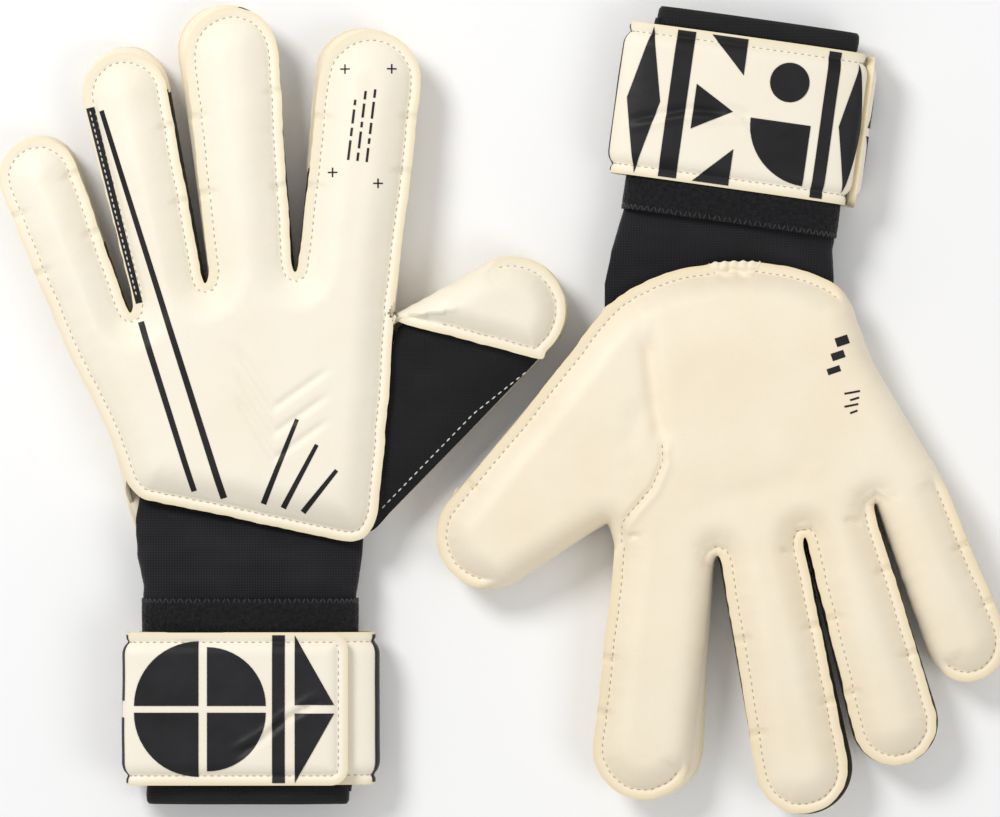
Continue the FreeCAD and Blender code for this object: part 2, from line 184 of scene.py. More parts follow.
def stretches(side, level):
    """The parts of a panel's outline in turn, from the wrist round the digits and back."""
    lines = {digit: digit_line(side, digit, level) for digit in DIGITS}
    edge = wrist_edge(side, level)
    heel = [edge[-1], lines["thumb"][0]]
    if role_of(side, level) == "back":
        heel.insert(1, HEEL[side])
    parts = [("heel", heel)]
    for digit, after in zip(DIGITS, FINGERS + (None,)):
        parts.append((digit, lines[digit]))
        if after:
            low = (lines[digit][-1] + lines[after][0]) / 2
            if digit != "thumb":
                low = low - 1.6 * DIGIT[side][digit][2]
            parts.append(("fork_" + after, [lines[digit][-1], low, lines[after][0]]))
    parts.append(("outer", [lines["little"][-1], WAIST[side], edge[0]]))
    parts.append(("wrist", edge))
    return parts


def rounded(line, corners):
    """Smooths a closed line a little everywhere, and well near its corners."""
    for turn in range(26):
        middle = (np.roll(line, 1, 0) + np.roll(line, -1, 0)) / 2
        if turn < 3:
            weight = np.ones(len(line))
        else:
            gap = np.linalg.norm(line[:, None] - np.array(corners)[None], axis=2).min(1)
            weight = np.clip(1.6 - gap / 8, 0, 1)
        line = line + (middle - line) * 0.5 * weight[:, None]
    return line


def outward(line):
    """Unit normals of a closed line that runs with its inside on the left."""
    tangent = np.roll(line, -1, 0) - np.roll(line, 1, 0)
    for _ in range(3):
        tangent = tangent + np.roll(tangent, 1, 0) + np.roll(tangent, -1, 0)
    tangent = tangent / np.linalg.norm(tangent, axis=1)[:, None]
    return np.stack([tangent[:, 1], -tangent[:, 0]], 1)


def pattern(side, level):
    """A whole panel's outline, with the name of the stretch and the place along it for every point."""
    parts = stretches(side, level)
    counts = [max(4, round(line_length(part) / POINT_STEP)) for _, part in stretches(side, "upper")]
    line = np.concatenate([evenly(part, count) for (_, part), count in zip(parts, counts)])
    names = np.concatenate([[name] * count for (name, _), count in zip(parts, counts)])
    place = np.concatenate([np.arange(count) / count for count in counts])
    edge = wrist_edge(side, level)
    return rounded(line, [edge[0], edge[-1]]), names, place


def inside(points, line):
    """Which points lie inside a closed line."""
    result = np.zeros(len(points), bool)
    x, y = points[:, 0], points[:, 1]
    for a, b in zip(line, np.roll(line, -1, 0)):
        if a[1] == b[1]:
            continue
        crosses = ((a[1] > y) != (b[1] > y)) & (x < a[0] + (y - a[1]) * (b[0] - a[0]) / (b[1] - a[1]))
        result ^= crosses
    return result


def edge_distance(points, line):
    """Each point's distance from a closed line, and the nearest of the line's points."""
    near = np.empty(len(points), int)
    for start in range(0, len(points), 2000):
        part = points[start : start + 2000]
        near[start : start + 2000] = ((part[:, None, :] - line[None]) ** 2).sum(2).argmin(1)
    best = np.full(len(points), 1e9)
    for step in (-1, 0):
        a = line[(near + step) % len(line)]
        b = line[(near + step + 1) % len(line)]
        ab = b - a
        share = np.clip(((points - a) * ab).sum(1) / (ab**2).sum(1), 0, 1)
        best = np.minimum(best, np.linalg.norm(points - a - ab * share[:, None], axis=1))
    return best, near


def owner_of(side, points):
    """The digit that each point belongs to, as its number in DIGITS, or -1 for the hand."""
    points = np.asarray(points, float)[:, :2]
    result = np.full(len(points), -1)
    forks = []
    for digit, after in zip(DIGITS, FINGERS):
        low = (digit_line(side, digit, "upper")[-1] + digit_line(side, after, "upper")[0]) / 2
        way = DIGIT[side][digit][2] + DIGIT[side][after][2]
        away = points - low
        forks.append(way[0] * away[:, 1] - way[1] * away[:, 0])
    for k, digit in enumerate(DIGITS):
        base, _, along = DIGIT[side][digit]
        mine = (points - base) @ along > 0
        if k < 4:
            mine &= forks[k] < 0
        if k > 0:
            mine &= forks[k - 1] > 0
        result[mine] = k
    return result


# ---- panels: heights ----


def soft_step(x):
    x = np.clip(x, 0, 1)
    return x * x * (3 - 2 * x)


def ripple(points, size, seed):
    """Gentle uneven height, from -1 to 1, over features of that size."""
    return np.array([noise.noise(Vector((x / size, y / size, seed))) for x, y in points])


def taper(side, points, owner):
    """How much the panel sinks towards the tips and the wrist."""
    sink = 3.2 * soft_step((46 - points[:, 1]) / 34)
    for k, digit in enumerate(DIGITS):
        base, _, along = DIGIT[side][digit]
        mine = owner == k
        sink[mine] = 4.2 * soft_step(((points[mine] - base) @ along / DIGIT_CUT[digit][0] - 0.3) / 0.8)
    return sink


def sewn_drop(d, crown, height):
    """A flat flange outside a stitched groove, then the foam swelling up to its crown."""
    swell = np.clip((d - 3.7) / (crown - 3.7), 0, 1)
    drop = height * (1 - np.sin(np.pi * swell / 2))
    drop += 0.75 * np.exp(-(((d - STITCH_INSET) / 0.75) ** 2))
    return drop + 0.15 * np.clip(1 - d / 0.9, 0, 1) ** 2


def rolled_drop(d):
    turn = np.clip(d / 11, 0, 1)
    return 12 * (1 - np.sqrt(np.maximum(0, 1 - (1 - turn) ** 2)))


def flange_map(role, names, place):
    """Where a panel's edge is a flat flange (1) and where it is rolled under (0)."""
    flange = np.ones(len(names))
    if role == "palm":
        for name in ("index", "thumb"):
            flange[(names == name) & (place > 0.62)] = 0
        flange[(names == "little") & (place < 0.4)] = 0
        flange[(names == "fork_index") | (names == "outer")] = 0
    for _ in range(6):
        flange = (flange + np.roll(flange, 1) + np.roll(flange, -1)) / 3
    return flange


# where the darts are, as shares of the way round each digit
DARTS = {
    "index": (0.2, 0.3, 0.72, 0.84),
    "middle": (0.14, 0.3, 0.73, 0.86),
    "ring": (0.16, 0.3, 0.74, 0.9),
    "little": (0.2, 0.34, 0.7, 0.84),
    "thumb": (0.22,),
}


def dart_depth(side, level, points, line, names, place):
    """Short notches pressed in at right angles to the edge of the digits."""
    depth = np.zeros(len(points))
    normals = outward(line)
    for name, wheres in DARTS.items():
        if name == "ring" and side == "left" and level == "upper":
            wheres = wheres[:2]
        for where in wheres:
            k = np.nonzero(names == name)[0]
            k = k[np.abs(place[k] - where).argmin()]
            away = points - line[k]
            into = -(away @ normals[k])
            beside = away @ np.array([-normals[k][1], normals[k][0]])
            depth += 1.5 * np.exp(-((beside / 0.75) ** 2)) * soft_step((7.5 - into) / 4) * (into > -2)
    return depth


def height_of(side, level, points, line, names, place, flange):
    """Height above the floor of one whole panel's outer face."""
    d, near = edge_distance(points, line)
    owner = owner_of(side, points)
    if level == "lower":
        drop = sewn_drop(d, 10.0, 4.6)
        return drop + 0.4 * taper(side, points, owner), d
    crown = 15.2 if role_of(side, level) == "back" else 13.5
    weight = flange[near]
    drop = weight * sewn_drop(d, crown, 5.2) + (1 - weight) * rolled_drop(d)
    drop += dart_depth(side, level, points, line, names, place) * weight
    drop += taper(side, points, owner)
    inner = soft_step((d - 3.5) / 6)
    drop += 0.45 * ripple(points, 26, 1.5) * inner + 0.16 * ripple(points, 9, 7.5) * inner
    return FOAM_TOP - drop, d


def groove(points, route, width, depth, fade_length=9.0):
    """A pressed line along a route, fading out at its ends."""
    route = np.asarray(route, float)
    best = np.full(len(points), 1e9)
    for a, b in zip(route[:-1], route[1:]):
        ab = b - a
        share = np.clip(((points - a) @ ab) / (ab @ ab), 0, 1)
        best = np.minimum(best, np.linalg.norm(points - a - share[:, None] * ab, axis=1))
    fade = np.ones(len(points))
    for end in (route[0], route[-1]):
        fade *= soft_step(np.linalg.norm(points - end, axis=1) / fade_length)
    return depth * np.exp(-((best / width) ** 2)) * fade


# ---- panels: meshes ----

RINGS = (0.0, 0.5, 1.1, 1.8, 2.6, 3.1, 3.6, 4.3, 5.2)


def new_ones(geom, kind):
    return [item for item in geom if isinstance(item, kind)]


def flat_sheet(line, pitch, rings=RINGS):
    """A flat sheet that fills a closed line: rings along its edge and a grid inside them."""
    bm = bmesh.new()
    normals = outward(line)
    bmesh.ops.create_circle(bm, segments=len(line), radius=1)
    order = bm.verts.layers.int.new("order")
    for k, vert in enumerate(bm.verts):
        vert[order] = k + 1
        vert.co = (*line[k], 0)
    rim = bm.edges[:]
    for offset in rings[1:]:
        grown = bmesh.ops.extrude_edge_only(bm, edges=rim)["geom"]
        verts = set(new_ones(grown, bmesh.types.BMVert))
        for vert in verts:
            vert.co = (*(line[vert[order] - 1] - normals[vert[order] - 1] * offset), 0)
        rim = [e for e in new_ones(grown, bmesh.types.BMEdge) if verts.issuperset(e.verts)]
    ring = line - normals * rings[-1]
    low, high = ring.min(0), ring.max(0)
    cells = np.ceil((high - low) / pitch).astype(int)
    made = bmesh.ops.create_grid(bm, x_segments=int(cells[0]), y_segments=int(cells[1]), size=0.5)["verts"]
    spots = np.array([vert.co[:2] for vert in made])
    spots = (spots + 0.5) * (high - low) + low
    keep = inside(spots, ring)
    keep[keep] = edge_distance(spots[keep], ring)[0] > 0.7 * pitch
    for vert, spot in zip(made, spots):
        vert.co = (*spot, 0)
    spare = [vert for vert, kept in zip(made, keep) if not kept]
    while spare:
        bmesh.ops.delete(bm, geom=spare, context="VERTS")
        spare = [
            v
            for v in bm.verts
            if not v[order] and sum(len(e.link_faces) == 1 for e in v.link_edges) != 2
        ]
        spare = [v for v in spare if any(len(e.link_faces) < 2 for e in v.link_edges) or not v.link_edges]
    border = rim + [e for e in bm.edges if len(e.link_faces) == 1 and not e.verts[0][order]]
    bmesh.ops.triangle_fill(bm, edges=border, use_beauty=True, normal=(0, 0, 1))
    bmesh.ops.recalc_face_normals(bm, faces=bm.faces[:])
    if sum(face.normal.z for face in bm.faces) < 0:
        bmesh.ops.reverse_faces(bm, faces=bm.faces[:])
    return bm


def cut_apart(bm, side, digits=DIGITS):
    """Cuts a sheet along the knuckle lines, and notes each face's owner."""
    for digit in digits:
        base, across, along = DIGIT[side][digit]
        faces = bm.faces[:]
        middles = np.array([face.calc_center_median()[:2] for face in faces])
        away = middles - base
        close = (np.abs(away @ along) < 4) & (np.abs(away @ across) < DIGIT_CUT[digit][1] / 2 + 2.5)
        close &= np.isin(owner_of(side, middles), (-1, DIGITS.index(digit)))
        zone = [face for face, wanted in zip(faces, close) if wanted]
        parts = zone + list({e for f in zone for e in f.edges}) + list({v for f in zone for v in f.verts})
        bmesh.ops.bisect_plane(bm, geom=parts, dist=1e-5, plane_co=(*base, 0), plane_no=(*along, 0))
    owner = bm.faces.layers.int.get("owner") or bm.faces.layers.int.new("owner")
    owners = owner_of(side, [face.calc_center_median()[:2] for face in bm.faces])
    for face, mine in zip(bm.faces, owners):
        face[owner] = int(mine)


def part_of(bm, wanted):
    """A copy of the faces that the test wants, which remembers the whole sheet's normals at its cuts."""
    bm.normal_update()
    kept = bm.verts.layers.float_vector.get("sewn") or bm.verts.layers.float_vector.new("sewn")
    seam = bm.verts.layers.int.get("seam") or bm.verts.layers.int.new("seam")
    for vert in bm.verts:
        vert[kept] = vert.normal
        vert[seam] = int(vert.is_boundary)
    part = bm.copy()
    bmesh.ops.delete(part, geom=[face for face in part.faces if not wanted(face, part)], context="FACES")
    seam = part.verts.layers.int["seam"]
    for vert in part.verts:
        vert[seam] = int(vert.is_boundary and not vert[seam])
    return part


def is_owned(number):
    return lambda face, part: face[part.faces.layers.int["owner"]] == number


def to_object(name, bm, matrix, materials, smooth=True):
    """Turns a bmesh made in a glove's flat frame into an object whose place is in its mesh."""
    if bm.verts.layers.float_vector.get("sewn"):
        kept, seam = bm.verts.layers.float_vector["sewn"], bm.verts.layers.int["seam"]
        turn = matrix.to_3x3().normalized()
        made = bm.faces.layers.int.get("outer")
        given = []
        for face in bm.faces:
            for vert in face.verts:
                given.append(turn @ vert[kept] if vert[seam] and face[made] else Vector())
    else:
        given = None
    bmesh.ops.transform(bm, matrix=matrix, verts=bm.verts[:])
    for face in bm.faces:
        face.smooth = smooth
    mesh = bpy.data.meshes.new(name)
    bm.to_mesh(mesh)
    bm.free()
    for material in materials:
        mesh.materials.append(material)
    if given:
        mesh.normals_split_custom_set([tuple(normal) for normal in given])
    obj = bpy.data.objects.new(name, mesh)
    bpy.context.scene.collection.objects.link(obj)
    return obj


def thicken(bm, depth):
    """Gives an open sheet its thickness, inwards, and marks the faces of its outer side."""
    outer = bm.faces.layers.int.get("outer") or bm.faces.layers.int.new("outer")
    bm.normal_update()
    inner, verts = bm.faces[:], bm.verts[:]
    moves = [vert.normal * depth for vert in verts]
    grown = bmesh.ops.extrude_face_region(bm, geom=inner, use_keep_orig=True)["geom"]
    for vert, move in zip(verts, moves):
        vert.co -= move
    for face in bm.faces:
        face[outer] = 0
    for face in new_ones(grown, bmesh.types.BMFace):
        face[outer] = 1
    for edge in bm.edges:
        edge.smooth = len({face[outer] for face in edge.link_faces}) == 1


# ---- building one glove's hand and digits ----


def world_point(side, flat):
    return LAID[side] @ Vector((flat[0], flat[1], MID_HEIGHT))


def carry(obj, side, number):
    """A hand piece rides on the hand. A digit's piece stays where it is, its place baked into its mesh."""
    if number < 0:
        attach(obj, f"{side}_hand")
        return
    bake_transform(obj)


def panel_names(side, number, role):
    return f"{side}_{role}_panel" if number < 0 else f"{side}_{DIGITS[number]}_{role}_panel"


def set_heights(bm, heights, raws):
    raw = bm.verts.layers.float.new("raw")
    for vert, height, value in zip(bm.verts, heights, raws):
        vert.co.z = height
        vert[raw] = value


def flip(bm):
    bmesh.ops.reverse_faces(bm, faces=bm.faces[:])


def seam_part(names, side, line):
    """The back's latex panel ends at the thumb's seam: its outline leaves out the thumb."""
    part = line[np.nonzero(names == "fork_index")[0][0] :]
    count = max(8, round(np.linalg.norm(part[0] - part[-1]) / POINT_STEP))
    bridge = evenly([part[-1], HEEL[side], part[0]], count)[1:]
    return np.concatenate([part, bridge])


def past_cap_seam(u, v):
    """How far places in the thumb's frame lie past the cap's seam, times the seam's length."""
    (u0, v0), (u1, v1) = CAP_SEAM
    return (u1 - u0) * (v - v0) - (v1 - v0) * (u - u0)


def cap_line(side, level):
    """The outline of the latex cap on the back of the thumb's tip."""
    base, across, along = DIGIT[side]["thumb"]
    round_tip = digit_line(side, "thumb", level)
    u, v = (round_tip - base) @ across, (round_tip - base) @ along
    arc = round_tip[(past_cap_seam(u, v) > 0.5) & ((u > 0) | (v > 5))]
    ends = [base + u * across + v * along for u, v in (CAP_SEAM[1], (-24.2, 3.0), (-26.4, -2.7))]
    full = np.concatenate([ends[:1], arc, ends[1:], ends[:1]])
    line = evenly(full, round(line_length(full) / POINT_STEP))
    return rounded(line, ends[1:])


def cap_flange(side, cap):
    """The cap is stitched round the tip and along its seam, and rolled under beside the index finger."""
    base, across, along = DIGIT[side]["thumb"]
    u, v = (cap - base) @ across, (cap - base) @ along
    flange = np.where((u > -12) | (v > 38) | (past_cap_seam(u, v) < 90), 1.0, 0.0)
    for _ in range(3):
        flange = (flange + np.roll(flange, 1) + np.roll(flange, -1)) / 3
    return flange


def ragged(line, seed):
    """A hand-cut edge: the line wanders a little."""
    offset = np.array([noise.noise(Vector((x / 3.2, y / 3.2, seed))) for x, y in line]) * 0.28
    offset += np.array([noise.noise(Vector((x / 16, y / 16, seed))) for x, y in line]) * 0.4
    return line + outward(line) * offset[:, None]


# the short seam where the thumb's root folds into the palm, and the pleats at the fingers' forks
THUMB_SEAM = [(38.2, 113.0), (38.0, 106.5), (34.0, 101.5), (27.5, 94.0), (23.7, 85.1), (24.1, 77.0)]
PLEATS = [
    [(10.8, 120.8), (5.0, 122.6)],
    [(-17.0, 115.9), (-23.4, 117.9)],
    [(-40.0, 105.6), (-47.2, 106.4)],
    [(38.0, 112.0), (31.0, 111.2)],
]


def build_palm(side, level, plan, pitch):
    line, names, place = plan
    line = ragged(line, 3.3 if side == "left" else 9.1)
    flange = flange_map("palm", names, place)
    bm = flat_sheet(line, pitch)
    points = np.array([vert.co[:2] for vert in bm.verts])
    heights, d = height_of(side, level, points, line, names, place, flange)
    if level == "upper":
        heights -= groove(points, [(29.5, 38.0), (27.6, 55.2), (26.0, 66.4), (23.4, 81.0)], 3.0, 2.4)
        heights -= groove(points, [(26.0, 60.0), (33, 70), (38, 84)], 4.0, 0.9)
        heights -= groove(points, [(-30.0, 88.0), (-8, 96), (14, 99)], 5.0, 0.7)
        heights -= groove(points, THUMB_SEAM, 0.9, 1.5, 3.0)
        lip = [(x - 1.7, y + 1.9) for x, y in THUMB_SEAM]
        heights += groove(points, lip, 1.3, 0.7, 3.0)
        for pleat in PLEATS:
            heights -= groove(points, pleat, 0.9, 1.5, 2.2)
        for x in (-5.5, 3.0):
            heights -= groove(points, [(x - 5 * np.sign(x), 15.5), (x, 19.4), (-1.2, 19.6)], 0.9, 1.1, 3.0)
    set_heights(bm, heights, np.clip(1 - d / 2.8, 0, 1) * flange[edge_distance(points, line)[1]])
    if level == "lower":
        flip(bm)
    return bm, line


def build_back(side, level, plan, pitch):
    """The back's latex panel, its thumb cap and the cloth triangle between them."""
    line, names, place = plan
    panel_line = ragged(rounded(seam_part(names, side, line), [HEEL[side]]), 5.7)
    result = {}
    bm = flat_sheet(panel_line, pitch)
    points = np.array([vert.co[:2] for vert in bm.verts])
    owner = owner_of(side, points)
    d, _ = edge_distance(points, panel_line)
    if level == "upper":
        heights = FOAM_TOP - sewn_drop(d, 15.2, 5.2) - taper(side, points, owner)
        heights -= dart_depth(side, level, points, line, names, place)
        inner = soft_step((d - 3.5) / 6)
        heights += (0.45 * ripple(points, 26, 1.5) + 0.16 * ripple(points, 9, 7.5)) * inner
        for route in EMBOSSED:
            heights -= groove(points, route, 1.1, 1.0)
    else:
        heights = sewn_drop(d, 10.0, 4.6) + 0.4 * taper(side, points, owner)
    set_heights(bm, heights, np.clip(1 - d / 2.8, 0, 1))
    result["panel"] = bm

    cap = ragged(cap_line(side, level), 2.2)
    bm = flat_sheet(cap, 0.8 if level == "upper" else pitch, RINGS[:4])
    points = np.array([vert.co[:2] for vert in bm.verts])
    d, near = edge_distance(points, cap)
    owner = np.zeros(len(points), int)
    base, across, along = DIGIT[side]["thumb"]
    weight = cap_flange(side, cap)[near]
    if level == "upper":
        drop = weight * sewn_drop(d, 12.0, 4.6) + (1 - weight) * 0.75 * rolled_drop(d)
        heights = FOAM_TOP - drop - taper(side, points, owner)
        heights += 0.35 * ripple(points, 20, 4.5) * soft_step((d - 3.5) / 6)
        crotch_gap = np.linalg.norm(points - base + 24.0 * across, axis=1)
        heights -= 2.6 * soft_step((16 - crotch_gap) / 14)
    else:
        heights = sewn_drop(d, 9.0, 4.6) + 0.4 * taper(side, points, owner)
    set_heights(bm, heights, np.clip(1 - d / 2.8, 0, 1) * weight)
    result["cap"] = bm

    outer = line[(names == "heel") | ((names == "thumb") & (place < 0.5))]
    u, v = (outer - base) @ across, (outer - base) @ along
    outer = outer[past_cap_seam(u, v) < 330]
    crotch = base - 22.0 * across + along * 1.5
    tuck = base - 17.5 * across + 12.0 * along
    full = np.concatenate([outer, [tuck, crotch], [np.array(HEEL[side]) + (-6.0, 4.0)], outer[:1]])
    cloth_line = evenly(full, round(line_length(full) / POINT_STEP))
    cloth_line = rounded(cloth_line, [crotch, tuck, outer[0], outer[-1]])
    bm = flat_sheet(cloth_line, 1.5, RINGS[:5])
    points = np.array([vert.co[:2] for vert in bm.verts])
    d, _ = edge_distance(points, line)
    owner = np.maximum(owner_of(side, points), 0)
    fall = 5.5 * (1 - np.sin(np.pi / 2 * np.clip(d / 13, 0, 1)))
    heights = HEIGHT - 8.4 - 0.8 * taper(side, points, owner) * soft_step(d / 8) - fall
    heights += 0.5 * ripple(points, 17, 8.8)
    if level == "lower":
        heights = HEIGHT - heights - 1.6
    set_heights(bm, heights, np.zeros(len(points)))
    result["cloth"] = bm
    if level == "lower":
        for each in result.values():
            flip(each)
    return result, panel_line, cap, cloth_line


def edge_height(side, level, plan):
    """Height of the seam all round, where the wall meets a panel."""
    line, names, place = plan
    flange = flange_map(role_of(side, level), names, place)
    probe = line - outward(line) * 1.0
    return height_of(side, level, probe, line, names, place, flange)[0]


WALL_ROWS = 8


def build_wall(side, plans):
    """The cloth wall between the panels, all round but for the wrist."""
    upper, names, place = plans["upper"]
    lower = plans["lower"][0]
    top = edge_height(side, "upper", plans["upper"])
    bottom = edge_height(side, "lower", plans["lower"])
    normals = outward(upper)
    start = upper - normals * 1.1
    end = lower - outward(lower) * 1.1
    top = np.minimum(top - 1.6, HEIGHT - 7)
    bottom = bottom + 1.6
    root = (names == "heel") | ((names == "thumb") & (place < 0.36))
    root = sum(np.roll(root.astype(float), k) for k in range(-4, 5)) / 9
    if UPPER[side] == "back":
        top = top * (1 - root) + np.minimum(top, 9.6) * root
    else:
        bottom = bottom * (1 - root) + np.maximum(bottom, 13.6) * root
    bm = bmesh.new()
    bmesh.ops.create_circle(bm, segments=len(upper), radius=1)
    order = bm.verts.layers.int.new("order")
    for k, vert in enumerate(bm.verts):
        vert[order] = k
        vert.co = (*start[k], top[k])
    rim = bm.edges[:]
    black = np.isin(names, ("middle", "ring", "fork_middle", "fork_ring", "fork_little"))
    bulge = np.where(black, 1.7, 1.3)
    for row in range(1, WALL_ROWS + 1):
        share = row / WALL_ROWS
        grown = bmesh.ops.extrude_edge_only(bm, edges=rim)["geom"]
        verts = set(new_ones(grown, bmesh.types.BMVert))
        for vert in verts:
            k = vert[order]
            out = bulge[k] * math.sin(math.pi * share)
            flat = start[k] * (1 - share) + end[k] * share + normals[k] * out
            vert.co = (*flat, top[k] * (1 - share) + bottom[k] * share)
        rim = [e for e in new_ones(grown, bmesh.types.BMEdge) if verts.issuperset(e.verts)]
    ends = wrist_edge(side, "upper")[[0, -1]]
    open_end = (names == "wrist") | (np.linalg.norm(upper[:, None] - ends[None], axis=2).min(1) < 7)
    gone = [f for f in bm.faces if any(open_end[v[order]] for v in f.verts)]
    bmesh.ops.delete(bm, geom=gone, context="FACES")
    bmesh.ops.recalc_face_normals(bm, faces=bm.faces[:])
    probe = max(bm.faces, key=lambda face: face.calc_center_median().y)
    if probe.normal.y < 0:
        flip(bm)
    tint = bm.faces.layers.int.new("tint")
    for face in bm.faces:
        name = names[face.verts[0][order]]
        face[tint] = int(black[face.verts[0][order]])
        if side == "left" and name in DIGITS:
            base, across, along = DIGIT[side][name]
            flat = np.array(face.calc_center_median()[:2]) - base
            u, v = flat @ across, flat @ along
            face[tint] = {
                "thumb": 0,
                "index": u < 0 and v < 30 + 0.6 * face.calc_center_median().z,
                "middle": u > 4,
                "ring": v < (76 if u < 0 else 72),
                "little": u > 0 and v < 30,
            }[name]
    return bm


# ---- finishes ----


class Finish:
    """A material's nodes, built from short calls."""

    def __init__(self, name, rough=0.6, sheen=0.0, specular=0.5):
        self.material = bpy.data.materials.new(name)
        self.material.use_nodes = True
        self.tree = self.material.node_tree
        self.shader = self.tree.nodes["Principled BSDF"]
        self.shader.inputs["Roughness"].default_value = rough
        self.shader.inputs["Sheen Weight"].default_value = sheen
        self.shader.inputs["Specular IOR Level"].default_value = specular
        coordinates = self.node("ShaderNodeTexCoord")
        self.place = coordinates.outputs["Object"]
        self.bumped = None

    def node(self, kind, **settings):
        node = self.tree.nodes.new(kind)
        for key, value in settings.items():
            setattr(node, key, value)
        return node

    def feed(self, socket, value):
        if hasattr(value, "links"):
            self.tree.links.new(value, socket)
        else:
            socket.default_value = value

    def put(self, node, **values):
        for key, value in values.items():
            self.feed(node.inputs[key.replace("_", " ")], value)
        return node

    def stretch(self, scale, turn=0.0):
        mapping = self.node("ShaderNodeMapping")
        self.put(mapping, Vector=self.place, Scale=scale, Rotation=(0, 0, turn))
        return mapping.outputs[0]

    def clouds(self, scale, detail, rough=0.5):
        noise_node = self.node("ShaderNodeTexNoise")
        self.put(noise_node, Vector=self.place, Scale=scale, Detail=detail, Roughness=rough)
        return noise_node.outputs["Fac"]

    def cells(self, scale):
        cell = self.node("ShaderNodeTexVoronoi", feature="F1")
        self.put(cell, Vector=self.place, Scale=scale)
        return cell.outputs["Distance"]

    def weave(self, scale, turn=0.0):
        wave = self.node("ShaderNodeTexWave", wave_profile="SIN")
        self.put(wave, Vector=self.stretch((1, 1, 1), turn), Scale=scale, Distortion=0.6, Detail=1.0)
        return wave.outputs["Fac"]

    def ramp(self, fac, *stops):
        ramp = self.node("ShaderNodeValToRGB")
        elements = ramp.color_ramp.elements
        while len(elements) < len(stops):
            elements.new(0.5)
        for element, (position, colour) in zip(elements, stops):
            element.position = position
            element.color = (*colour, 1) if len(colour) == 3 else colour
        self.tree.links.new(fac, ramp.inputs["Fac"])
        return ramp.outputs["Color"]

    def math(self, operation, a, b):
        node = self.node("ShaderNodeMath", operation=operation)
        for socket, value in zip(node.inputs, (a, b)):
            self.feed(socket, value)
        return node.outputs[0]

    def mix(self, fac, a, b):
        node = self.node("ShaderNodeMix", data_type="RGBA")
        for socket, value in ((node.inputs["Factor"], fac), (node.inputs[6], a), (node.inputs[7], b)):
            self.feed(socket, (*value, 1) if isinstance(value, tuple) else value)
        return node.outputs[2]

    def attribute(self, name):
        return self.node("ShaderNodeAttribute", attribute_name=name).outputs["Fac"]

    def colour(self, value):
        self.tree.links.new(value, self.shader.inputs["Base Color"])

    def roughness(self, value):
        self.tree.links.new(value, self.shader.inputs["Roughness"])

    def bump(self, height, strength, distance):
        bump = self.node("ShaderNodeBump")
        self.put(bump, Height=height, Strength=strength, Distance=distance)
        if self.bumped:
            self.tree.links.new(self.bumped, bump.inputs["Normal"])
        self.bumped = bump.outputs[0]
        self.tree.links.new(self.bumped, self.shader.inputs["Normal"])


def latex(name, cream, shade, yellow):
    finish = Finish(name, rough=0.5, sheen=0.06, specular=0.35)
    cloud = finish.clouds(28, 4.0)
    colour = finish.mix(finish.ramp(cloud, (0.35, (0, 0, 0)), (0.7, (1, 1, 1))), cream, shade)
    speck = finish.clouds(900, 2.0)
    colour = finish.mix(finish.ramp(speck, (0.60, (0, 0, 0)), (0.80, (0.25, 0.25, 0.25))), colour, yellow)
    raw = finish.attribute("raw")
    edge = finish.math("MULTIPLY", raw, 0.85)
    finish.colour(finish.mix(edge, colour, yellow))
    finish.roughness(finish.ramp(cloud, (0.3, (0.46, 0.46, 0.46)), (0.75, (0.58, 0.58, 0.58))))
    finish.bump(finish.clouds(160, 3.0), 0.18, 0.0006)
    finish.bump(finish.clouds(1500, 2.0), 0.22, 0.00022)
    return finish.material


def cloth(name, dark, light, scale, strength=0.5, rough=0.85, sheen=0.3, fuzz=0.0):
    finish = Finish(name, rough=rough, sheen=sheen, specular=0.25)
    across = finish.weave(scale)
    down = finish.weave(scale, math.pi / 2)
    knit = finish.math("MULTIPLY", across, down)
    cloud = finish.clouds(70, 4.0)
    tone = finish.math("ADD", finish.math("MULTIPLY", knit, 0.6), finish.math("MULTIPLY", cloud, 0.5))
    finish.colour(finish.ramp(tone, (0.2, dark), (0.85, light)))
    finish.bump(knit, strength, 0.0003)
    finish.bump(finish.clouds(120, 3.0), 0.25, 0.001)
    if fuzz:
        finish.bump(finish.clouds(1300, 5.0, rough=0.8), fuzz, 0.0012)
    return finish.material


def pile(name, dark, light):
    finish = Finish(name, rough=0.95, sheen=0.15, specular=0.12)
    curls = finish.cells(900)
    tangle = finish.clouds(650, 6.0, rough=0.8)
    lumps = finish.math("MULTIPLY", curls, tangle)
    finish.colour(finish.ramp(tangle, (0.3, dark), (0.75, light)))
    finish.bump(finish.clouds(140, 3.0), 0.3, 0.0015)
    finish.bump(lumps, 0.9, 0.0012)
    return finish.material


def print_ink(name, dark, light):
    finish = Finish(name, rough=0.5, specular=0.3)
    cloud = finish.clouds(60, 4.0)
    finish.colour(finish.ramp(cloud, (0.3, dark), (0.75, light)))
    finish.roughness(finish.ramp(finish.clouds(300, 3.0), (0.3, (0.44,) * 3), (0.8, (0.6,) * 3)))
    finish.bump(finish.clouds(1500, 2.0), 0.15, 0.0002)
    return finish.material


def thread(name, colour, shade):
    finish = Finish(name, rough=0.7, sheen=0.3, specular=0.3)
    twist = finish.node("ShaderNodeTexWave")
    finish.put(twist, Vector=finish.stretch((1, 1, 1), 0.7), Scale=900.0, Distortion=1.0)
    finish.colour(finish.mix(twist.outputs["Fac"], shade, colour))
    finish.bump(twist.outputs["Fac"], 0.5, 0.0002)
    return finish.material


def hook_tape(name):
    finish = Finish(name, rough=0.45, specular=0.5)
    dots = finish.cells(1300)
    finish.colour(finish.ramp(dots, (0.15, (0.03, 0.03, 0.032)), (0.6, (0.012, 0.012, 0.013))))
    finish.bump(dots, 0.9, 0.0008)
    return finish.material


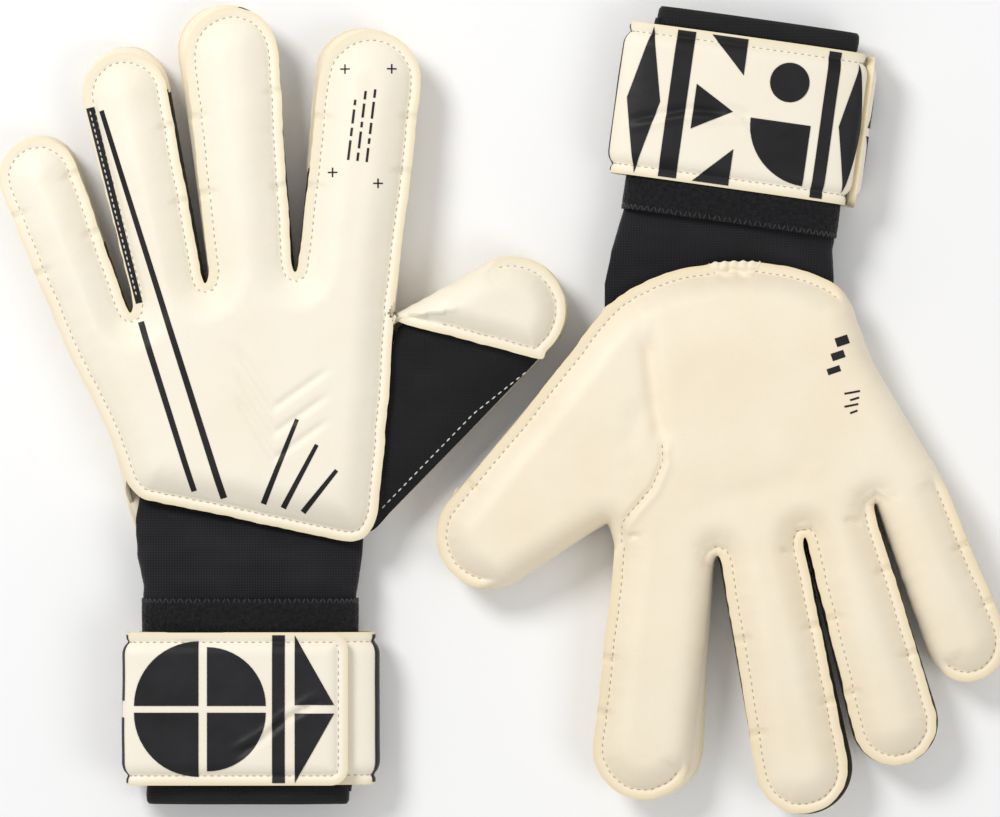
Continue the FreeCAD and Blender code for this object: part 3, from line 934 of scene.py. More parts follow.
def table_top(name):
    finish = Finish(name, rough=0.8, specular=0.2)
    cloud = finish.clouds(3, 2.0)
    finish.colour(finish.ramp(cloud, (0.2, (0.93, 0.93, 0.93)), (0.8, (0.96, 0.96, 0.96))))
    finish.bump(finish.clouds(700, 2.0), 0.03, 0.0003)
    return finish.material


LATEX_BACK = latex("back_latex_foam", (0.935, 0.87, 0.735), (0.91, 0.835, 0.68), (0.84, 0.715, 0.46))
LATEX_PALM = latex("palm_latex_foam", (0.935, 0.84, 0.665), (0.90, 0.79, 0.60), (0.84, 0.69, 0.42))
BLACK_CLOTH = cloth("black_gusset_cloth", (0.004, 0.004, 0.005), (0.020, 0.019, 0.021), 420, sheen=0.12)
NEOPRENE = cloth("sleeve_neoprene_knit", (0.004, 0.0035, 0.005), (0.020, 0.018, 0.022), 330, 0.4, 0.8, 0.12)
BINDING = cloth("hem_binding_weave", (0.004, 0.004, 0.005), (0.024, 0.024, 0.026), 600, 0.7, 0.75, 0.1)
BAND_PILE = pile("band_loop_pile", (0.002, 0.002, 0.003), (0.022, 0.021, 0.023))
LOOP_PILE = pile("patch_loop_pile", (0.006, 0.006, 0.007), (0.05, 0.05, 0.052))
HOOK = hook_tape("patch_hook_tape")
INK = print_ink("strap_print_ink", (0.006, 0.006, 0.007), (0.017, 0.015, 0.018))
CREAM_THREAD = thread("cream_stitching", (0.62, 0.53, 0.36), (0.42, 0.34, 0.21))
WHITE_THREAD = thread("white_stitching", (0.88, 0.86, 0.82), (0.66, 0.64, 0.60))
DARK_THREAD = thread("dark_stitching", (0.05, 0.05, 0.052), (0.015, 0.015, 0.016))


# ---- both gloves ----

# nested chevrons pressed into the back
EMBOSSED = [
    [(-6.0, 92.0 - 9 * k), (9.0, 68.0 - 9 * k), (30.0, 83.0 - 9 * k)] for k in range(3)
]

surfaces = {}
cut_lines = {}
for side in SIDES:
    plans = {}
    for level in ("upper", "lower"):
        plans[level] = pattern(side, level)
        role = role_of(side, level)
        pitch = PITCH[level]
        finish = LATEX_PALM if role == "palm" else LATEX_BACK
        if role == "palm":
            bm, edge = build_palm(side, level, plans[level], pitch)
            sheets, cut_lines[side, level] = {"panel": bm}, {"panel": edge}
        else:
            sheets, edge, cap, cloth_edge = build_back(side, level, plans[level], pitch)
            cut_lines[side, level] = {"panel": edge, "cap": cap, "cloth": cloth_edge}
        surfaces[side, level] = {name: BVHTree.FromBMesh(bm) for name, bm in sheets.items()}
        digits = DIGITS if role == "palm" else FINGERS
        bm = sheets["panel"]
        cut_apart(bm, side, digits)
        for number in range(-1, 5):
            if role == "back" and number == 0:
                continue
            part = part_of(bm, is_owned(number))
            thicken(part, LATEX)
            node = panel_names(side, number, role)
            obj = to_object(node.replace("_panel", "_latex"), part, LAID[side], [finish])
            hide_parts(node)
            carry(obj, side, number)
        bm.free()
        if role == "back":
            thicken(sheets["cap"], LATEX)
            obj = to_object(f"{side}_thumb_back_cap", sheets["cap"], LAID[side], [finish])
            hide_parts(f"{side}_thumb_back_panel")
            carry(obj, side, 0)
            cut_apart(sheets["cloth"], side, ("thumb",))
            for number, name in ((-1, "thumb_root_cloth"), (0, "thumb_side_cloth")):
                part = part_of(sheets["cloth"], is_owned(number))
                thicken(part, CLOTH)
                obj = to_object(f"{side}_{name}", part, LAID[side], [BLACK_CLOTH])
                if number < 0:
                    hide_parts(f"{side}_thumb_back_gusset")
                carry(obj, side, number)
            sheets["cloth"].free()
    wall = build_wall(side, plans)
    cut_apart(wall, side)
    for number in range(-1, 5):
        part = part_of(wall, is_owned(number))
        tint = part.faces.layers.int["tint"]
        thicken(part, CLOTH)
        for face in part.faces:
            face.material_index = face[tint]
        name = f"{side}_hand_gussets" if number < 0 else f"{side}_{DIGITS[number]}_gusset"
        obj = to_object(name, part, LAID[side], [LATEX_PALM, BLACK_CLOTH])
        if number < 0:
            nodes = [f"{side}_{n}" for n in ("outer_side_gusset", "thumb_root_gusset", "thumb_web")]
        else:
            nodes = [f"{side}_{DIGITS[number]}_side_gusset"]
        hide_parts(*nodes)
        carry(obj, side, number)
    wall.free()


# ---- cuffs ----


# points round each tube of a cuff, and stitches round the band's top edge
ROUND = 150
OVERLOCK_COUNT = 132


def tube_sheet(count, rows, shape):
    """An open tube of count points round: shape(turn, row) gives each point's X and Z."""
    bm = bmesh.new()
    bmesh.ops.create_circle(bm, segments=count, radius=1)
    order = bm.verts.layers.int.new("order")
    for k, vert in enumerate(bm.verts):
        vert[order] = k
    rim, verts = bm.edges[:], bm.verts[:]
    for place, y in enumerate(rows):
        if place:
            grown = bmesh.ops.extrude_edge_only(bm, edges=rim)["geom"]
            verts = set(new_ones(grown, bmesh.types.BMVert))
            rim = [e for e in new_ones(grown, bmesh.types.BMEdge) if verts.issuperset(e.verts)]
        for vert in verts:
            x, z = shape(2 * math.pi * vert[order] / count, y)
            vert.co = (x, y, z)
    bmesh.ops.recalc_face_normals(bm, faces=bm.faces[:])
    top = max(bm.faces, key=lambda face: face.calc_center_median().z)
    if top.normal.z < 0:
        flip(bm)
    return bm


def flat_oval(turn, half, low, high, power=0.55):
    """A point of a flattened tube's section."""
    s = math.sin(turn)
    z = (low + high) / 2 + (high - low) / 2 * math.copysign(abs(s) ** power, s)
    return half * math.cos(turn), z


def between(value, table):
    places, values = zip(*table)
    return float(np.interp(value, places, values))


def panel_edge_y(side, level, x):
    edge = wrist_edge(side, level)
    return float(np.interp(x, edge[:, 0], edge[:, 1]))


def sleeve_shape(side):
    halves = [(-20, 36.8), (-4, 37.4), (4, 38.0), (16, 39.8), (28, 40.6), (46, 38.0)]
    if side == "left":
        highs = [(-14, 16.0), (-6, 17.2), (0, 20.0), (6, 21.0)]
        lows = [(-14, 6.2), (-6, 5.4), (0, 3.6), (6, 2.6)]
    else:
        highs = [(-14, 19.8), (-6, 20.0), (0, 20.5), (6, 21.0)]
        lows = [(-14, 10.0), (-6, 8.8), (0, 4.5), (6, 2.6)]

    def shape(turn, y):
        half = between(y, halves)
        x = half * math.cos(turn)
        up = soft_step((panel_edge_y(side, "upper", x) + 2 - y) / 15)
        down = soft_step((panel_edge_y(side, "lower", x) + 2 - y) / 15)
        high = 14.2 + (between(y, highs) - 14.2) * up
        low = 8.4 + (between(y, lows) - 8.4) * down
        x, z = flat_oval(turn, half, low, high)
        fold = noise.noise(Vector((x / 24, y / 5.0, z / 30))) * 1.1 * up
        return x * (1 + fold * 0.012), z + fold * (1 if z > 11 else -0.3)

    return shape


def band_shape(turn, y):
    half = between(y, [(-72, 35.4), (-58, 37.2), (-14, 38.4), (-3, 38.6), (0.5, 38.4)])
    high = between(y, [(-72, 17.8), (-15, 18.7), (-9, 20.9), (-2, 21.4), (0.5, 21.2)])
    low = between(y, [(-72, 5.0), (-15, 4.2), (-9, 2.2), (0.5, 2.2)])
    x, z = flat_oval(turn, half, low, high, 0.5)
    lift = noise.noise(Vector((x / 9, y / 7, z / 9 + 4))) * 0.25
    return x, z + math.copysign(lift, z - 12)


def as_it_lies(side, shape):
    """A cuff's section: the right glove lies the other way up."""
    if side == "left":
        return shape

    def turned(turn, y):
        x, z = shape(-turn, y)
        return x, HEIGHT - z

    return turned


def hem_shape(turn, y):
    swell = between(y, [(-72.4, 0), (-71.7, 0.7), (-69, 0.9), (-66.4, 0.7), (-65.4, 0)])
    wave = 0.35 * math.sin(turn * 7) + noise.noise(Vector((turn * 3, y / 4, 2))) * 0.3
    x, z = flat_oval(turn, 35.2 + swell, 4.6 - swell, 19.4 + swell, 0.5)
    x -= 0.8
    return x, z + wave * (1 if z > 12 else 0)


def path_frame(route, at):
    """Points and outward normals along an open route in X and Z, at those lengths."""
    run = np.concatenate([[0], np.cumsum(np.linalg.norm(np.diff(route, axis=0), axis=1))])
    at = np.clip(at, 0.01, run[-1] - 0.01)
    point = np.stack([np.interp(at, run, route[:, k]) for k in (0, 1)], 1)
    ahead = np.stack([np.interp(np.minimum(at + 0.6, run[-1]), run, route[:, k]) for k in (0, 1)], 1)
    behind = np.stack([np.interp(np.maximum(at - 0.6, 0), run, route[:, k]) for k in (0, 1)], 1)
    tangent = (ahead - behind) / np.linalg.norm(ahead - behind, axis=1)[:, None]
    return point, np.stack([-tangent[:, 1], tangent[:, 0]], 1)


def smooth_route(corners):
    """A route through those corners, rounded."""
    line = evenly(corners, round(line_length(corners) / 0.5))
    line = np.concatenate([line, [corners[-1]]])
    for _ in range(60):
        line[1:-1] = line[1:-1] * 0.5 + (line[:-2] + line[2:]) * 0.25
    return line


def turned_over(route):
    """The same route on a glove that lies the other way up, still with its outside on the left."""
    return (route * (1, -1) + (0, HEIGHT))[::-1]


WRAP_TURN = np.radians(np.linspace(112, 112 - 344, 400))
WRAP_ROUTE = {"left": np.array([flat_oval(turn, 43.6, 0.5, 22.2, 0.42) for turn in WRAP_TURN]) + (2.2, 0)}
FLAP_CORNERS = [(-45.0, 8.0), (-45.0, 24.6), (-40.0, 25.7), (-20.0, 25.8), (35.0, 25.6)]
FLAP_ROUTE = {"left": smooth_route(FLAP_CORNERS)}
WRAP_ROUTE["right"] = turned_over(WRAP_ROUTE["left"])
FLAP_ROUTE["right"] = turned_over(FLAP_ROUTE["left"])
STRAP_TOP = -11.5
STRAP_END = -65.6


def strap_outline(length, corner_start, corner_end):
    """The strap's flat cut: X along it, Y across it, with rounded corners."""
    corners = []
    for x, y, radius, first in (
        (0, STRAP_END, corner_start, 180),
        (length, STRAP_END, corner_end, 270),
        (length, STRAP_TOP, corner_end, 0),
        (0, STRAP_TOP, corner_start, 90),
    ):
        cx = x + radius if x == 0 else x - radius
        cy = y + radius if y == STRAP_END else y - radius
        for turn in np.radians(np.linspace(first, first + 90, 8)):
            corners.append((cx + radius * math.cos(turn), cy + radius * math.sin(turn)))
    corners.append(corners[0])
    return evenly(corners, round(line_length(corners) / POINT_STEP))


def strap_height(points, line, creases):
    """The strap's padding: a flange, a stitched groove, and a soft middle with creases and their lips."""
    d, _ = edge_distance(points, line)
    drop = sewn_drop(d, 8.0, 1.5)
    drop += 0.25 * ripple(points, 18, 3.0) * soft_step((d - 3.5) / 6)
    for route in creases:
        lip = [(x, y + 2.6) for x, y in route]
        drop += (groove(points, route, 1.3, 1.1) - groove(points, lip, 1.5, 0.7)) * soft_step((d - 4) / 3)
    return -drop, d


def bend_along(bm, route):
    """Bends a flat sheet along a route: its X becomes the length along it and its Z the height off it."""
    flat = np.array([vert.co[:] for vert in bm.verts])
    point, normal = path_frame(route, flat[:, 0])
    for vert, p, n, (_, y, h) in zip(bm.verts, point, normal, flat):
        vert.co = (p[0] + n[0] * h, y, p[1] + n[1] * h)


def strap_sheet(route, line, creases):
    bm = flat_sheet(line, 1.1)
    points = np.array([vert.co[:2] for vert in bm.verts])
    heights, d = strap_height(points, line, creases)
    set_heights(bm, heights, np.clip(1 - d / 2.6, 0, 1))
    bend_along(bm, route)
    return bm


def flat_shape(corners, pitch=1.1):
    """A flat convex patch with those corners, divided into a grid."""
    corners = np.asarray(corners, float)
    low, high = corners.min(0), corners.max(0)
    cells = np.maximum(1, np.ceil((high - low) / pitch)).astype(int)
    bm = bmesh.new()
    made = bmesh.ops.create_grid(bm, x_segments=int(cells[0]), y_segments=int(cells[1]), size=0.5)["verts"]
    for vert in made:
        vert.co = (*((np.array(vert.co[:2]) + 0.5) * (high - low) + low), 0)
    middle = corners.mean(0)
    for a, b in zip(corners, np.roll(corners, -1, 0)):
        side_way = np.array([b[1] - a[1], a[0] - b[0]])
        if (middle - a) @ side_way > 0:
            side_way = -side_way
        parts = bm.faces[:] + bm.edges[:] + bm.verts[:]
        bmesh.ops.bisect_plane(
            bm, geom=parts, dist=1e-6, plane_co=(*a, 0), plane_no=(*side_way, 0), clear_outer=True
        )
    return bm


def flat_arc(centre, inner, outer, start, end):
    """A flat part of a ring, between two angles in degrees."""
    bm = bmesh.new()
    rows = max(2, round((outer - inner) / 1.3))
    columns = max(6, round(abs(end - start) / 5))
    made = bmesh.ops.create_grid(bm, x_segments=columns, y_segments=rows, size=0.5)["verts"]
    for vert in made:
        turn = math.radians(start + (end - start) * (0.5 - vert.co.x))
        radius = inner + (outer - inner) * (vert.co.y + 0.5)
        vert.co = (centre[0] + radius * math.cos(turn), centre[1] + radius * math.sin(turn), 0)
    return bm


def bar(start, end, width, width_end=None):
    """The corners of a straight stroke."""
    start, end = np.asarray(start, float), np.asarray(end, float)
    way = (end - start) / np.linalg.norm(end - start)
    beside = np.array([-way[1], way[0]])
    a, b = width / 2, (width if width_end is None else width_end) / 2
    return [start - beside * a, end - beside * b, end + beside * b, start + beside * a]


def face_up(bm):
    bm.normal_update()
    if sum(face.normal.z for face in bm.faces) < 0:
        flip(bm)


def join_all(parts):
    """One bmesh from several."""
    whole = bmesh.new()
    for part in parts:
        mesh = bpy.data.meshes.new("part")
        part.to_mesh(mesh)
        whole.from_mesh(mesh)
        bpy.data.meshes.remove(mesh)
        part.free()
    return whole


def strap_print(route, line, creases, shapes):
    """Ink on the strap: flat shapes lifted a hair off its padding."""
    bm = join_all(shapes)
    face_up(bm)
    points = np.array([vert.co[:2] for vert in bm.verts])
    heights, _ = strap_height(points, line, creases)
    for vert, height in zip(bm.verts, heights):
        vert.co.z = height + 0.24
    bend_along(bm, route)
    thicken(bm, 0.12)
    return bm


def dash(bm, place, way, up, length, width, thick):
    """One stitch: a small rounded bead along the seam."""
    way, up = Vector(way).normalized(), Vector(up).normalized()
    beside = up.cross(way).normalized()
    up = way.cross(beside)
    turn = Matrix((way * (length / 2), beside * (width / 2), up * (thick / 2))).transposed().to_4x4()
    matrix = Matrix.Translation(Vector(place)) @ turn
    bmesh.ops.create_icosphere(bm, subdivisions=1, radius=1, matrix=matrix)


def seam_spots(line, pitch, closed=True):
    """Evenly spaced places along a seam, with its direction at each."""
    full = np.concatenate([line, line[:1]]) if closed else np.asarray(line, float)
    count = max(2, round(line_length(full) / pitch))
    spots = evenly(full, count)
    after = np.roll(spots, -1, 0)
    if not closed:
        after[-1] = full[-1]
    ways = after - spots
    return spots, ways / np.linalg.norm(ways, axis=1)[:, None]


def quarter(corner, radius, start):
    """The corners of a quarter disc."""
    arc = np.radians(np.linspace(start, start + 90, 15))
    return [corner] + [(corner[0] + radius * math.cos(t), corner[1] + radius * math.sin(t)) for t in arc]


MIDDLE = (STRAP_TOP + STRAP_END) / 2
HIGH = STRAP_TOP - 0.9
LOW = STRAP_END + 0.9
# bold plain shapes, as convex pieces: "left" on both flaps, "right" on the right glove's wrap
BLOCKS = {
    "left": [
        bar((6, HIGH), (6, LOW), 4.5),
        bar((13, HIGH), (13, MIDDLE + 3), 5.5),
        bar((13, MIDDLE - 3), (13, LOW), 5.5),
        quarter((42.5, MIDDLE + 1.2), 22.8, 90),
        quarter((42.5, MIDDLE - 1.2), 22.8, 180),
        quarter((45.5, MIDDLE + 1.2), 20.8, 0),
        quarter((45.5, MIDDLE - 1.2), 20.8, 270),
        [(68.5, HIGH), (73.0, HIGH), (73.0, LOW), (68.5, LOW)],
        [(76.5, HIGH), (90.5, MIDDLE + 1.5), (76.5, MIDDLE + 1.5)],
        [(76.5, LOW), (90.5, MIDDLE - 1.5), (76.5, MIDDLE - 1.5)],
    ],
    "right": [
        [(4.5, MIDDLE), (9.5, HIGH - 3), (14.5, MIDDLE), (9.5, LOW + 3)],
        bar((19.0, HIGH), (19.0, LOW), 4.5),
        quarter((24.5, MIDDLE + 1.2), 21.5, 0),
        [(50.5, HIGH), (63.5, HIGH), (50.5, HIGH - 13)],
        [(50.5, LOW), (63.5, LOW), (50.5, LOW + 13)],
        [(66.5, MIDDLE + 8), (66.5, MIDDLE - 8), (52.5, MIDDLE)],
        bar((72.5, HIGH), (72.5, LOW), 6.5),
        [(78.5, MIDDLE), (84.5, HIGH), (90.5, MIDDLE), (84.5, LOW)],
    ],
}
WRAP_DISC = ((34.0, MIDDLE - 13.0), 0.1, 7.0, 0, 360)
# how far along the right glove's wrap its upper face lies, measured as along a flap
FLAP_ON_WRAP = 21.4
# where the flap starts and ends its bend at the fold, across the cuff and along it
FLAP_BEND = (-42.5, -31.0)
MIDDLE_OF_FOLD = -38
# the strap's width from edge to edge, and between its rows of stitches
STRAP_WIDTH = 54.1
ROWS_APART = 47.3
# where the left flap and the right wrap have creased as they were pulled tight
CREASES = {
    "left": [[(52, -57), (64, -50), (72, -43), (88, -34)]],
    "right": [[(44, -31), (48, -38), (58, -41)], [(52, -38), (69, -37), (90, -30)]],
}


def strap_stitches(route, length, line, creases):
    """The row of stitches inside a strap's edge."""
    seam = strap_outline(length - 6.8, 2.6, 3.0) - (0, MIDDLE)
    seam = seam * (1, ROWS_APART / STRAP_WIDTH) + (STITCH_INSET, MIDDLE)
    spots, ways = seam_spots(seam, 2.5)
    heights, _ = strap_height(spots, line, creases)
    points, normals = path_frame(route, spots[:, 0])
    stitches = bmesh.new()
    for spot, way, h, p, n in zip(spots, ways, heights + 0.12, points, normals):
        along = Vector((n[1] * way[0], way[1], -n[0] * way[0]))
        dash(stitches, (p[0] + n[0] * h, spot[1], p[1] + n[1] * h), along, (n[0], 0, n[1]), 1.5, 0.36, 0.34)
    return stitches


def shapes_at(blocks, shift):
    """Flat shapes for a strap, moved along it."""
    return [flat_shape([(x + shift, y) for x, y in corners], 0.8) for corners in blocks]


def moved_along(creases, shift):
    return [[(x + shift, y) for x, y in route] for route in creases]


def ride_cuff(obj, side):
    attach(obj, f"{side}_cuff")


for side in SIDES:
    place = CUFF[side]
    sleeve = tube_sheet(ROUND, np.arange(46, -16.5, -1.3), sleeve_shape(side))
    thicken(sleeve, 1.0)
    sleeve = to_object(f"{side}_sleeve_knit", sleeve, place, [NEOPRENE])
    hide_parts(f"{side}_wrist_sleeve", f"{side}_wrist_lining")
    start, end = world_point(side, (0, 22)), world_point(side, (0, 2))
    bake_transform(sleeve)

    band_round = as_it_lies(side, band_shape)
    band = tube_sheet(ROUND, np.arange(0.4, -68.5, -1.4), band_round)
    thicken(band, 1.1)
    band = to_object(f"{side}_band_pile", band, place, [BAND_PILE])
    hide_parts(f"{side}_wrist_band")
    ride_cuff(band, side)

    hem = tube_sheet(ROUND, np.arange(-65.4, -73.1, -0.55), as_it_lies(side, hem_shape))
    thicken(hem, 1.6)
    hem = to_object(f"{side}_hem_binding", hem, place, [BINDING])
    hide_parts(f"{side}_band_hem")
    ride_cuff(hem, side)

    overlock = bmesh.new()
    for k in range(OVERLOCK_COUNT):
        turn = 2 * math.pi * k / OVERLOCK_COUNT
        x, z = band_round(turn, -0.6)
        x2, z2 = band_round(turn + 0.02, -0.6)
        out = Vector((z2 - z, 0, x - x2)).normalized()
        slant = 0.45 if k % 2 else -0.45
        way = Vector((x2 - x, 0, z2 - z)).normalized() * slant + Vector((0, 1, 0))
        dash(overlock, Vector((x, -0.5, z)) - out * 0.1, way, out, 2.6, 0.5, 0.5)
    overlock = to_object(f"{side}_overlock_row", overlock, place, [DARK_THREAD])
    ride_cuff(overlock, side)

    # on the right glove, which lies palm up, the wrap is on top and the flap underneath
    wrap_route, flap_route = WRAP_ROUTE[side], FLAP_ROUTE[side]
    wrap_creases = [] if side == "left" else moved_along(CREASES[side], FLAP_ON_WRAP)
    wrap_length = line_length(wrap_route)
    wrap_line = strap_outline(wrap_length, 5.5, 5.5)
    wrap = strap_sheet(wrap_route, wrap_line, wrap_creases)
    thicken(wrap, 2.6)
    wrap = to_object(f"{side}_strap_base", wrap, place, [LATEX_BACK])
    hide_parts(f"{side}_strap_wrap")
    ride_cuff(wrap, side)
    stitches = strap_stitches(wrap_route, wrap_length, wrap_line, wrap_creases)
    ride_cuff(to_object(f"{side}_base_stitches", stitches, place, [CREAM_THREAD]), side)

    flap_creases = CREASES[side] if side == "left" else []
    flap_length = line_length(flap_route)
    flap_line = strap_outline(flap_length, 5.5, 6.0)
    flap = strap_sheet(flap_route, flap_line, flap_creases)
    thicken(flap, 2.7)
    flap = to_object(f"{side}_flap_foam", flap, place, [LATEX_BACK])
    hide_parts(f"{side}_strap_flap")
    shapes = shapes_at(BLOCKS["left"], 0)
    ink = strap_print(flap_route, flap_line, flap_creases, shapes)
    ink = to_object(f"{side}_flap_print", ink, place, [INK])
    stitches = strap_stitches(flap_route, flap_length, flap_line, flap_creases)
    stitches = to_object(f"{side}_flap_stitches", stitches, place, [CREAM_THREAD])
    start, end = (place @ Vector((x, MIDDLE_OF_FOLD, MID_HEIGHT)) for x in FLAP_BEND)
    for obj in (flap, ink, stitches):
        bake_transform(obj)

    if side == "left":
        shapes = [flat_shape(bar((62 + k * 9, HIGH), (62 + k * 9, LOW), 5.5)) for k in range(2)]
        shapes += [flat_shape(bar((88, y), (190, y), 9)) for y in (-22, -38.5, -55)]
    else:
        shapes = shapes_at(BLOCKS["right"], FLAP_ON_WRAP)
        (x, y), *rest = WRAP_DISC
        shapes.append(flat_arc((x + FLAP_ON_WRAP, y), *rest))
        shapes += [flat_shape(bar((x, HIGH), (x, LOW), 5.0)) for x in (120.0, 129.0, 138.0)]
    ink = strap_print(wrap_route, wrap_line, wrap_creases, shapes)
    ink = to_object(f"{side}_base_print", ink, place, [INK])
    ride_cuff(ink, side)
    for node, material in ((f"{side}_loop_patch", LOOP_PILE), (f"{side}_hook_patch", HOOK)):
        shown = frame["nodes"][node]
        for slot_place in shown.material_slots:
            slot_place.material = material


# ---- stitching and print on the hands ----


ABOVE, BELOW = 80, -60


def drop_on(trees, x, y, level):
    """The panel's face under or over a place, and its normal."""
    start, way = ((x, y, ABOVE), (0, 0, -1)) if level == "upper" else ((x, y, BELOW), (0, 0, 1))
    hits = [tree.ray_cast(Vector(start), Vector(way)) for tree in trees]
    hits = [hit for hit in hits if hit[0] is not None]
    if not hits:
        return None, None
    pick = max if level == "upper" else min
    hit = pick(hits, key=lambda each: each[0].z)
    normal = hit[1] if (hit[1].z > 0) == (level == "upper") else -hit[1]
    return hit[0], normal


def sew(side, level, seams, name, material, pitch=2.5, length=1.5, width=0.36, lift=0.08):
    """Rows of stitches laid in the seams of a panel, one piece for the hand and one for each digit they
    reach.
    """
    pools = {}
    for tree_name, line, closed in seams:
        spots, ways = seam_spots(line, pitch, closed)
        trees = [surfaces[side, level][tree_name]] if tree_name else list(surfaces[side, level].values())
        for spot, way, owner in zip(spots, ways, owner_of(side, spots)):
            place, normal = drop_on(trees, spot[0], spot[1], level)
            if place is None:
                continue
            if tree_name == "cap":
                owner = 0
            bm = pools.setdefault(int(owner), bmesh.new())
            dash(bm, place + normal * lift, (*way, 0), normal, length, width, 0.34)
    for owner, bm in pools.items():
        obj = to_object(f"{side}_{name}_{'hand' if owner < 0 else DIGITS[owner]}", bm, LAID[side], [material])
        carry(obj, side, owner)


def inked(side, level, name, shapes):
    """Ink on the hand and fingers, draped over the panel, one piece for the hand and one for each digit it
    reaches.
    """
    bm = join_all(shapes)
    face_up(bm)
    cut_apart(bm, side)
    tree = [surfaces[side, level]["panel"]]
    lost = []
    for vert in bm.verts:
        place, normal = drop_on(tree, vert.co.x, vert.co.y, level)
        if place is None:
            lost.append(vert)
        else:
            vert.co = place + normal * 0.14
    bmesh.ops.delete(bm, geom=lost, context="VERTS")
    owner = bm.faces.layers.int["owner"]
    for number in sorted({face[owner] for face in bm.faces}):
        part = part_of(bm, is_owned(number))
        thicken(part, 0.1)
        tail = "hand" if number < 0 else DIGITS[number]
        obj = to_object(f"{side}_{name}_{tail}", part, LAID[side], [INK])
        carry(obj, side, number)
    bm.free()


def in_digit(side, digit, u, v):
    base, across, along = DIGIT[side][digit]
    return base + across * u + along * v


def flange_seam(line):
    """The line of stitches inside an edge."""
    inner = line - outward(line) * STITCH_INSET
    return inner[edge_distance(inner, line)[0] > STITCH_CLEAR]


def flat_runs(line, flange):
    """The stretches of a panel's stitching line where its edge is a flat flange."""
    seam = line - outward(line) * STITCH_INSET
    flange[edge_distance(seam, line)[0] < STITCH_CLEAR] = 0
    runs, run = [], []
    for point, flat in zip(np.concatenate([seam, seam[:1]]), np.concatenate([flange, flange[:1]])):
        if flat > 0.6:
            run.append(point)
        elif run:
            runs.append(run)
            run = []
    runs.append(run)
    return [run for run in runs if len(run) > 4]


for side in SIDES:
    for level in ("upper", "lower"):
        role = role_of(side, level)
        lines = cut_lines[side, level]
        if role == "palm":
            _, names, place = pattern(side, level)
            runs = flat_runs(lines["panel"], flange_map("palm", names, place))
            seams = [("panel", run, False) for run in runs]
            if level == "upper":
                seams.append(("panel", THUMB_SEAM, False))
        else:
            cap = flange_seam(lines["cap"])
            cap = cap[cap_flange(side, cap) > 0.7]
            start = np.linalg.norm(cap - np.roll(cap, 1, 0), axis=1).argmax()
            seams = [("panel", flange_seam(lines["panel"]), True), ("cap", np.roll(cap, -start, 0), False)]
        sew(side, level, seams, f"{role}_stitches", CREAM_THREAD)
    row = [in_digit(side, "thumb", 20.4, 25.0), in_digit(side, "thumb", 20.6, 2.0)]
    row.append(np.array(HEEL[side]) + (0.5, 5.0))
    level = level_of(side, "back")
    sew(side, level, [("cloth", row, False)], "thumb_row", WHITE_THREAD, 2.7, 2.0, 0.6)

strokes = [bar(in_digit("left", "ring", -13.0, 72), in_digit("left", "ring", -10.9, 0.5), 3.0, 2.4)]
strokes += [bar((-38.4, 98.5), (-19.5, 38.5), 2.2, 2.0)]
strokes += [bar(in_digit("left", "ring", -9.3, 70), (-9.0, 36.0), 1.7, 2.4)]
strokes += [bar((5 + 7 * k, 34 - 1.5 * k), (17 + 7 * k, 64 - 9 * k), 2.0, 1.4) for k in range(3)]
shapes = [flat_shape(stroke, 0.8) for stroke in strokes]
for u, v in ((-9.5, 75.0), (7.0, 77.0), (-9.5, 38.0), (7.0, 36.0)):
    x, y = in_digit("left", "index", u, v)
    shapes.append(flat_shape(bar((x - 1.7, y), (x + 1.7, y), 0.5)))
    shapes.append(flat_shape(bar((x, y - 1.7), (x, y + 1.7), 0.5)))
for row, (u, marks) in enumerate(((-4.5, (7, 3, 5, 2)), (-1.2, (3, 6, 2, 5, 3)), (2.1, (5, 2, 4, 6, 3)))):
    v = 43.0
    for mark in marks:
        ends = in_digit("left", "index", u, v), in_digit("left", "index", u, v + mark)
        shapes.append(flat_shape(bar(*ends, 0.85)))
        v += mark + 1.5
inked("left", "upper", "print", shapes)
lock = [in_digit("left", "ring", -13.3, 70), in_digit("left", "ring", -11.2, 2)]
sew("left", "upper", [("panel", lock, False)], "lock_row", WHITE_THREAD, 2.1, 1.6, 0.55, 0.25)
shapes = []
for k in range(3):
    ends = (-42 + 1.5 * k, 41.5 + 5.2 * k), (-37.5 + 1.5 * k, 43 + 5.2 * k)
    shapes.append(flat_shape(bar(*ends, 3.2 - 0.5 * k)))
for k in range(4):
    ends = (-46 + k * 0.3, 60 + 2.3 * k), (-40.5 - (k % 2) * 2, 61 + 2.3 * k)
    shapes.append(flat_shape(bar(*ends, 0.7)))
inked("right", "upper", "print", shapes)

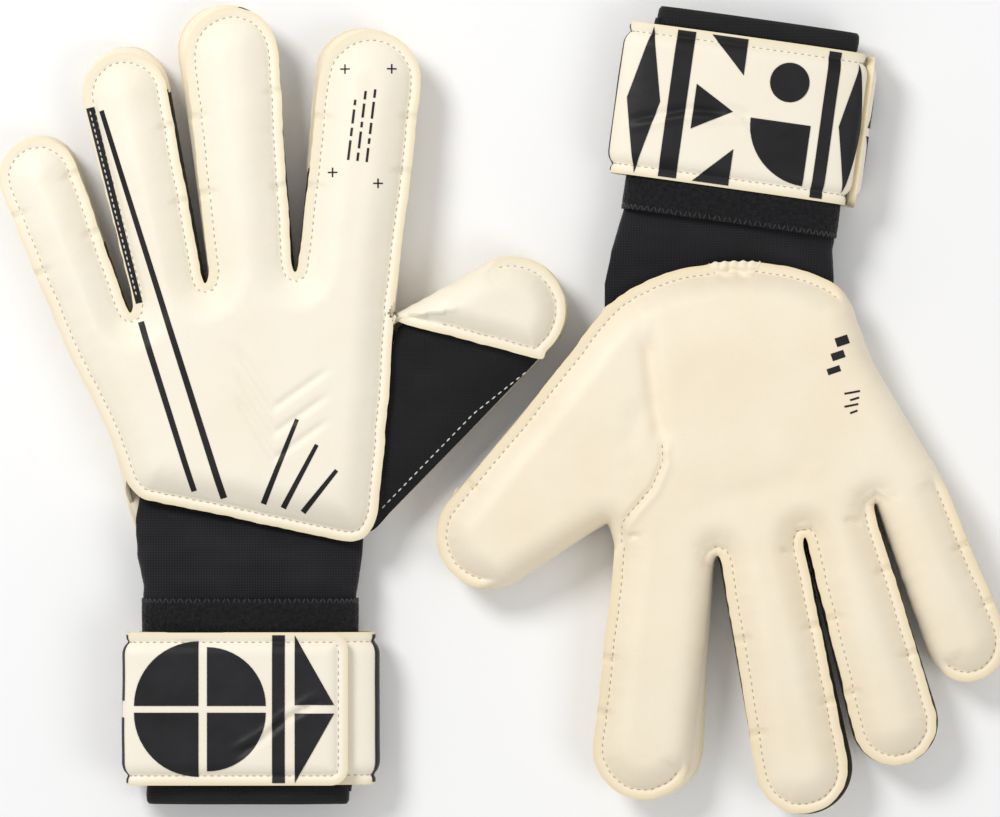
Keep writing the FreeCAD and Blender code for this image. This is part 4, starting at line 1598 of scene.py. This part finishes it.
# the crimped gather at the middle of the palm's wrist edge
for side in SIDES:
    level = level_of(side, "palm")
    bm = bmesh.new()
    made = bmesh.ops.create_grid(bm, x_segments=84, y_segments=10, size=0.5)["verts"]
    tree = list(surfaces[side, level].values())
    for vert in made:
        inward = 0.5 + vert.co.y
        x = -2 + (18.5 - 6 * inward) * vert.co.x
        crimp = abs(math.sin(x * 0.95))
        y = panel_edge_y(side, level, x) + 0.3 - 0.6 * crimp * (1 - inward) + 5.0 * inward
        place, normal = drop_on(tree, x, y, level)
        if place is None:
            place, normal = drop_on(tree, x, y + 2.0, level)
        ridge = 0.75 * crimp * (1 - inward) + 0.35 * math.sin(math.pi * min(1, max(0, inward)))
        ridge *= 1 - abs(2 * vert.co.x) ** 5
        vert.co = (x, y, place.z + (0.15 + ridge) * (1 if level == "upper" else -1))
    face_up(bm)
    if level == "lower":
        flip(bm)
    thicken(bm, 0.9)
    obj = to_object(f"{side}_palm_gather", bm, LAID[side], [LATEX_PALM])
    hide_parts(f"{side}_palm_elastic")
    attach(obj, f"{side}_hand")


# ---- floor, light and camera ----

floor_mesh = bmesh.new()
bmesh.ops.create_grid(floor_mesh, x_segments=2, y_segments=2, size=4)
bmesh.ops.translate(floor_mesh, verts=floor_mesh.verts[:], vec=(0, 0, -0.0004))
floor = to_object("pale_floor", floor_mesh, Matrix.Identity(4), [table_top("pale_floor_paper")])

world = bpy.data.worlds.new("soft_room")
world.use_nodes = True
world.node_tree.nodes["Background"].inputs["Color"].default_value = (1.0, 1.0, 1.0, 1)
world.node_tree.nodes["Background"].inputs["Strength"].default_value = 0.5
bpy.context.scene.world = world
bpy.context.scene.view_settings.view_transform = "Standard"


def soft_light(name, place, aim, size, power):
    lamp = bpy.data.lights.new(name, "AREA")
    lamp.shape = "DISK"
    lamp.size = size
    lamp.energy = power
    obj = bpy.data.objects.new(name, lamp)
    obj.location = place
    obj.rotation_euler = (Vector(aim) - Vector(place)).to_track_quat("-Z", "Y").to_euler()
    bpy.context.scene.collection.objects.link(obj)


soft_light("window_light", (-0.75, 0.75, 1.15), (0, 0, 0), 0.55, 13)
soft_light("fill_light", (0.9, -0.5, 1.3), (0, 0, 0), 0.9, 5)

lens = bpy.data.cameras.new("overhead_lens")
lens.lens = 250
lens.sensor_width = 36
camera = bpy.data.objects.new("overhead_camera", lens)
camera.location = (-0.0009, 0.0007, 0.012 + 0.3555 * 250 / 36)
bpy.context.scene.collection.objects.link(camera)
lens.clip_end = 50
bpy.context.scene.camera = camera
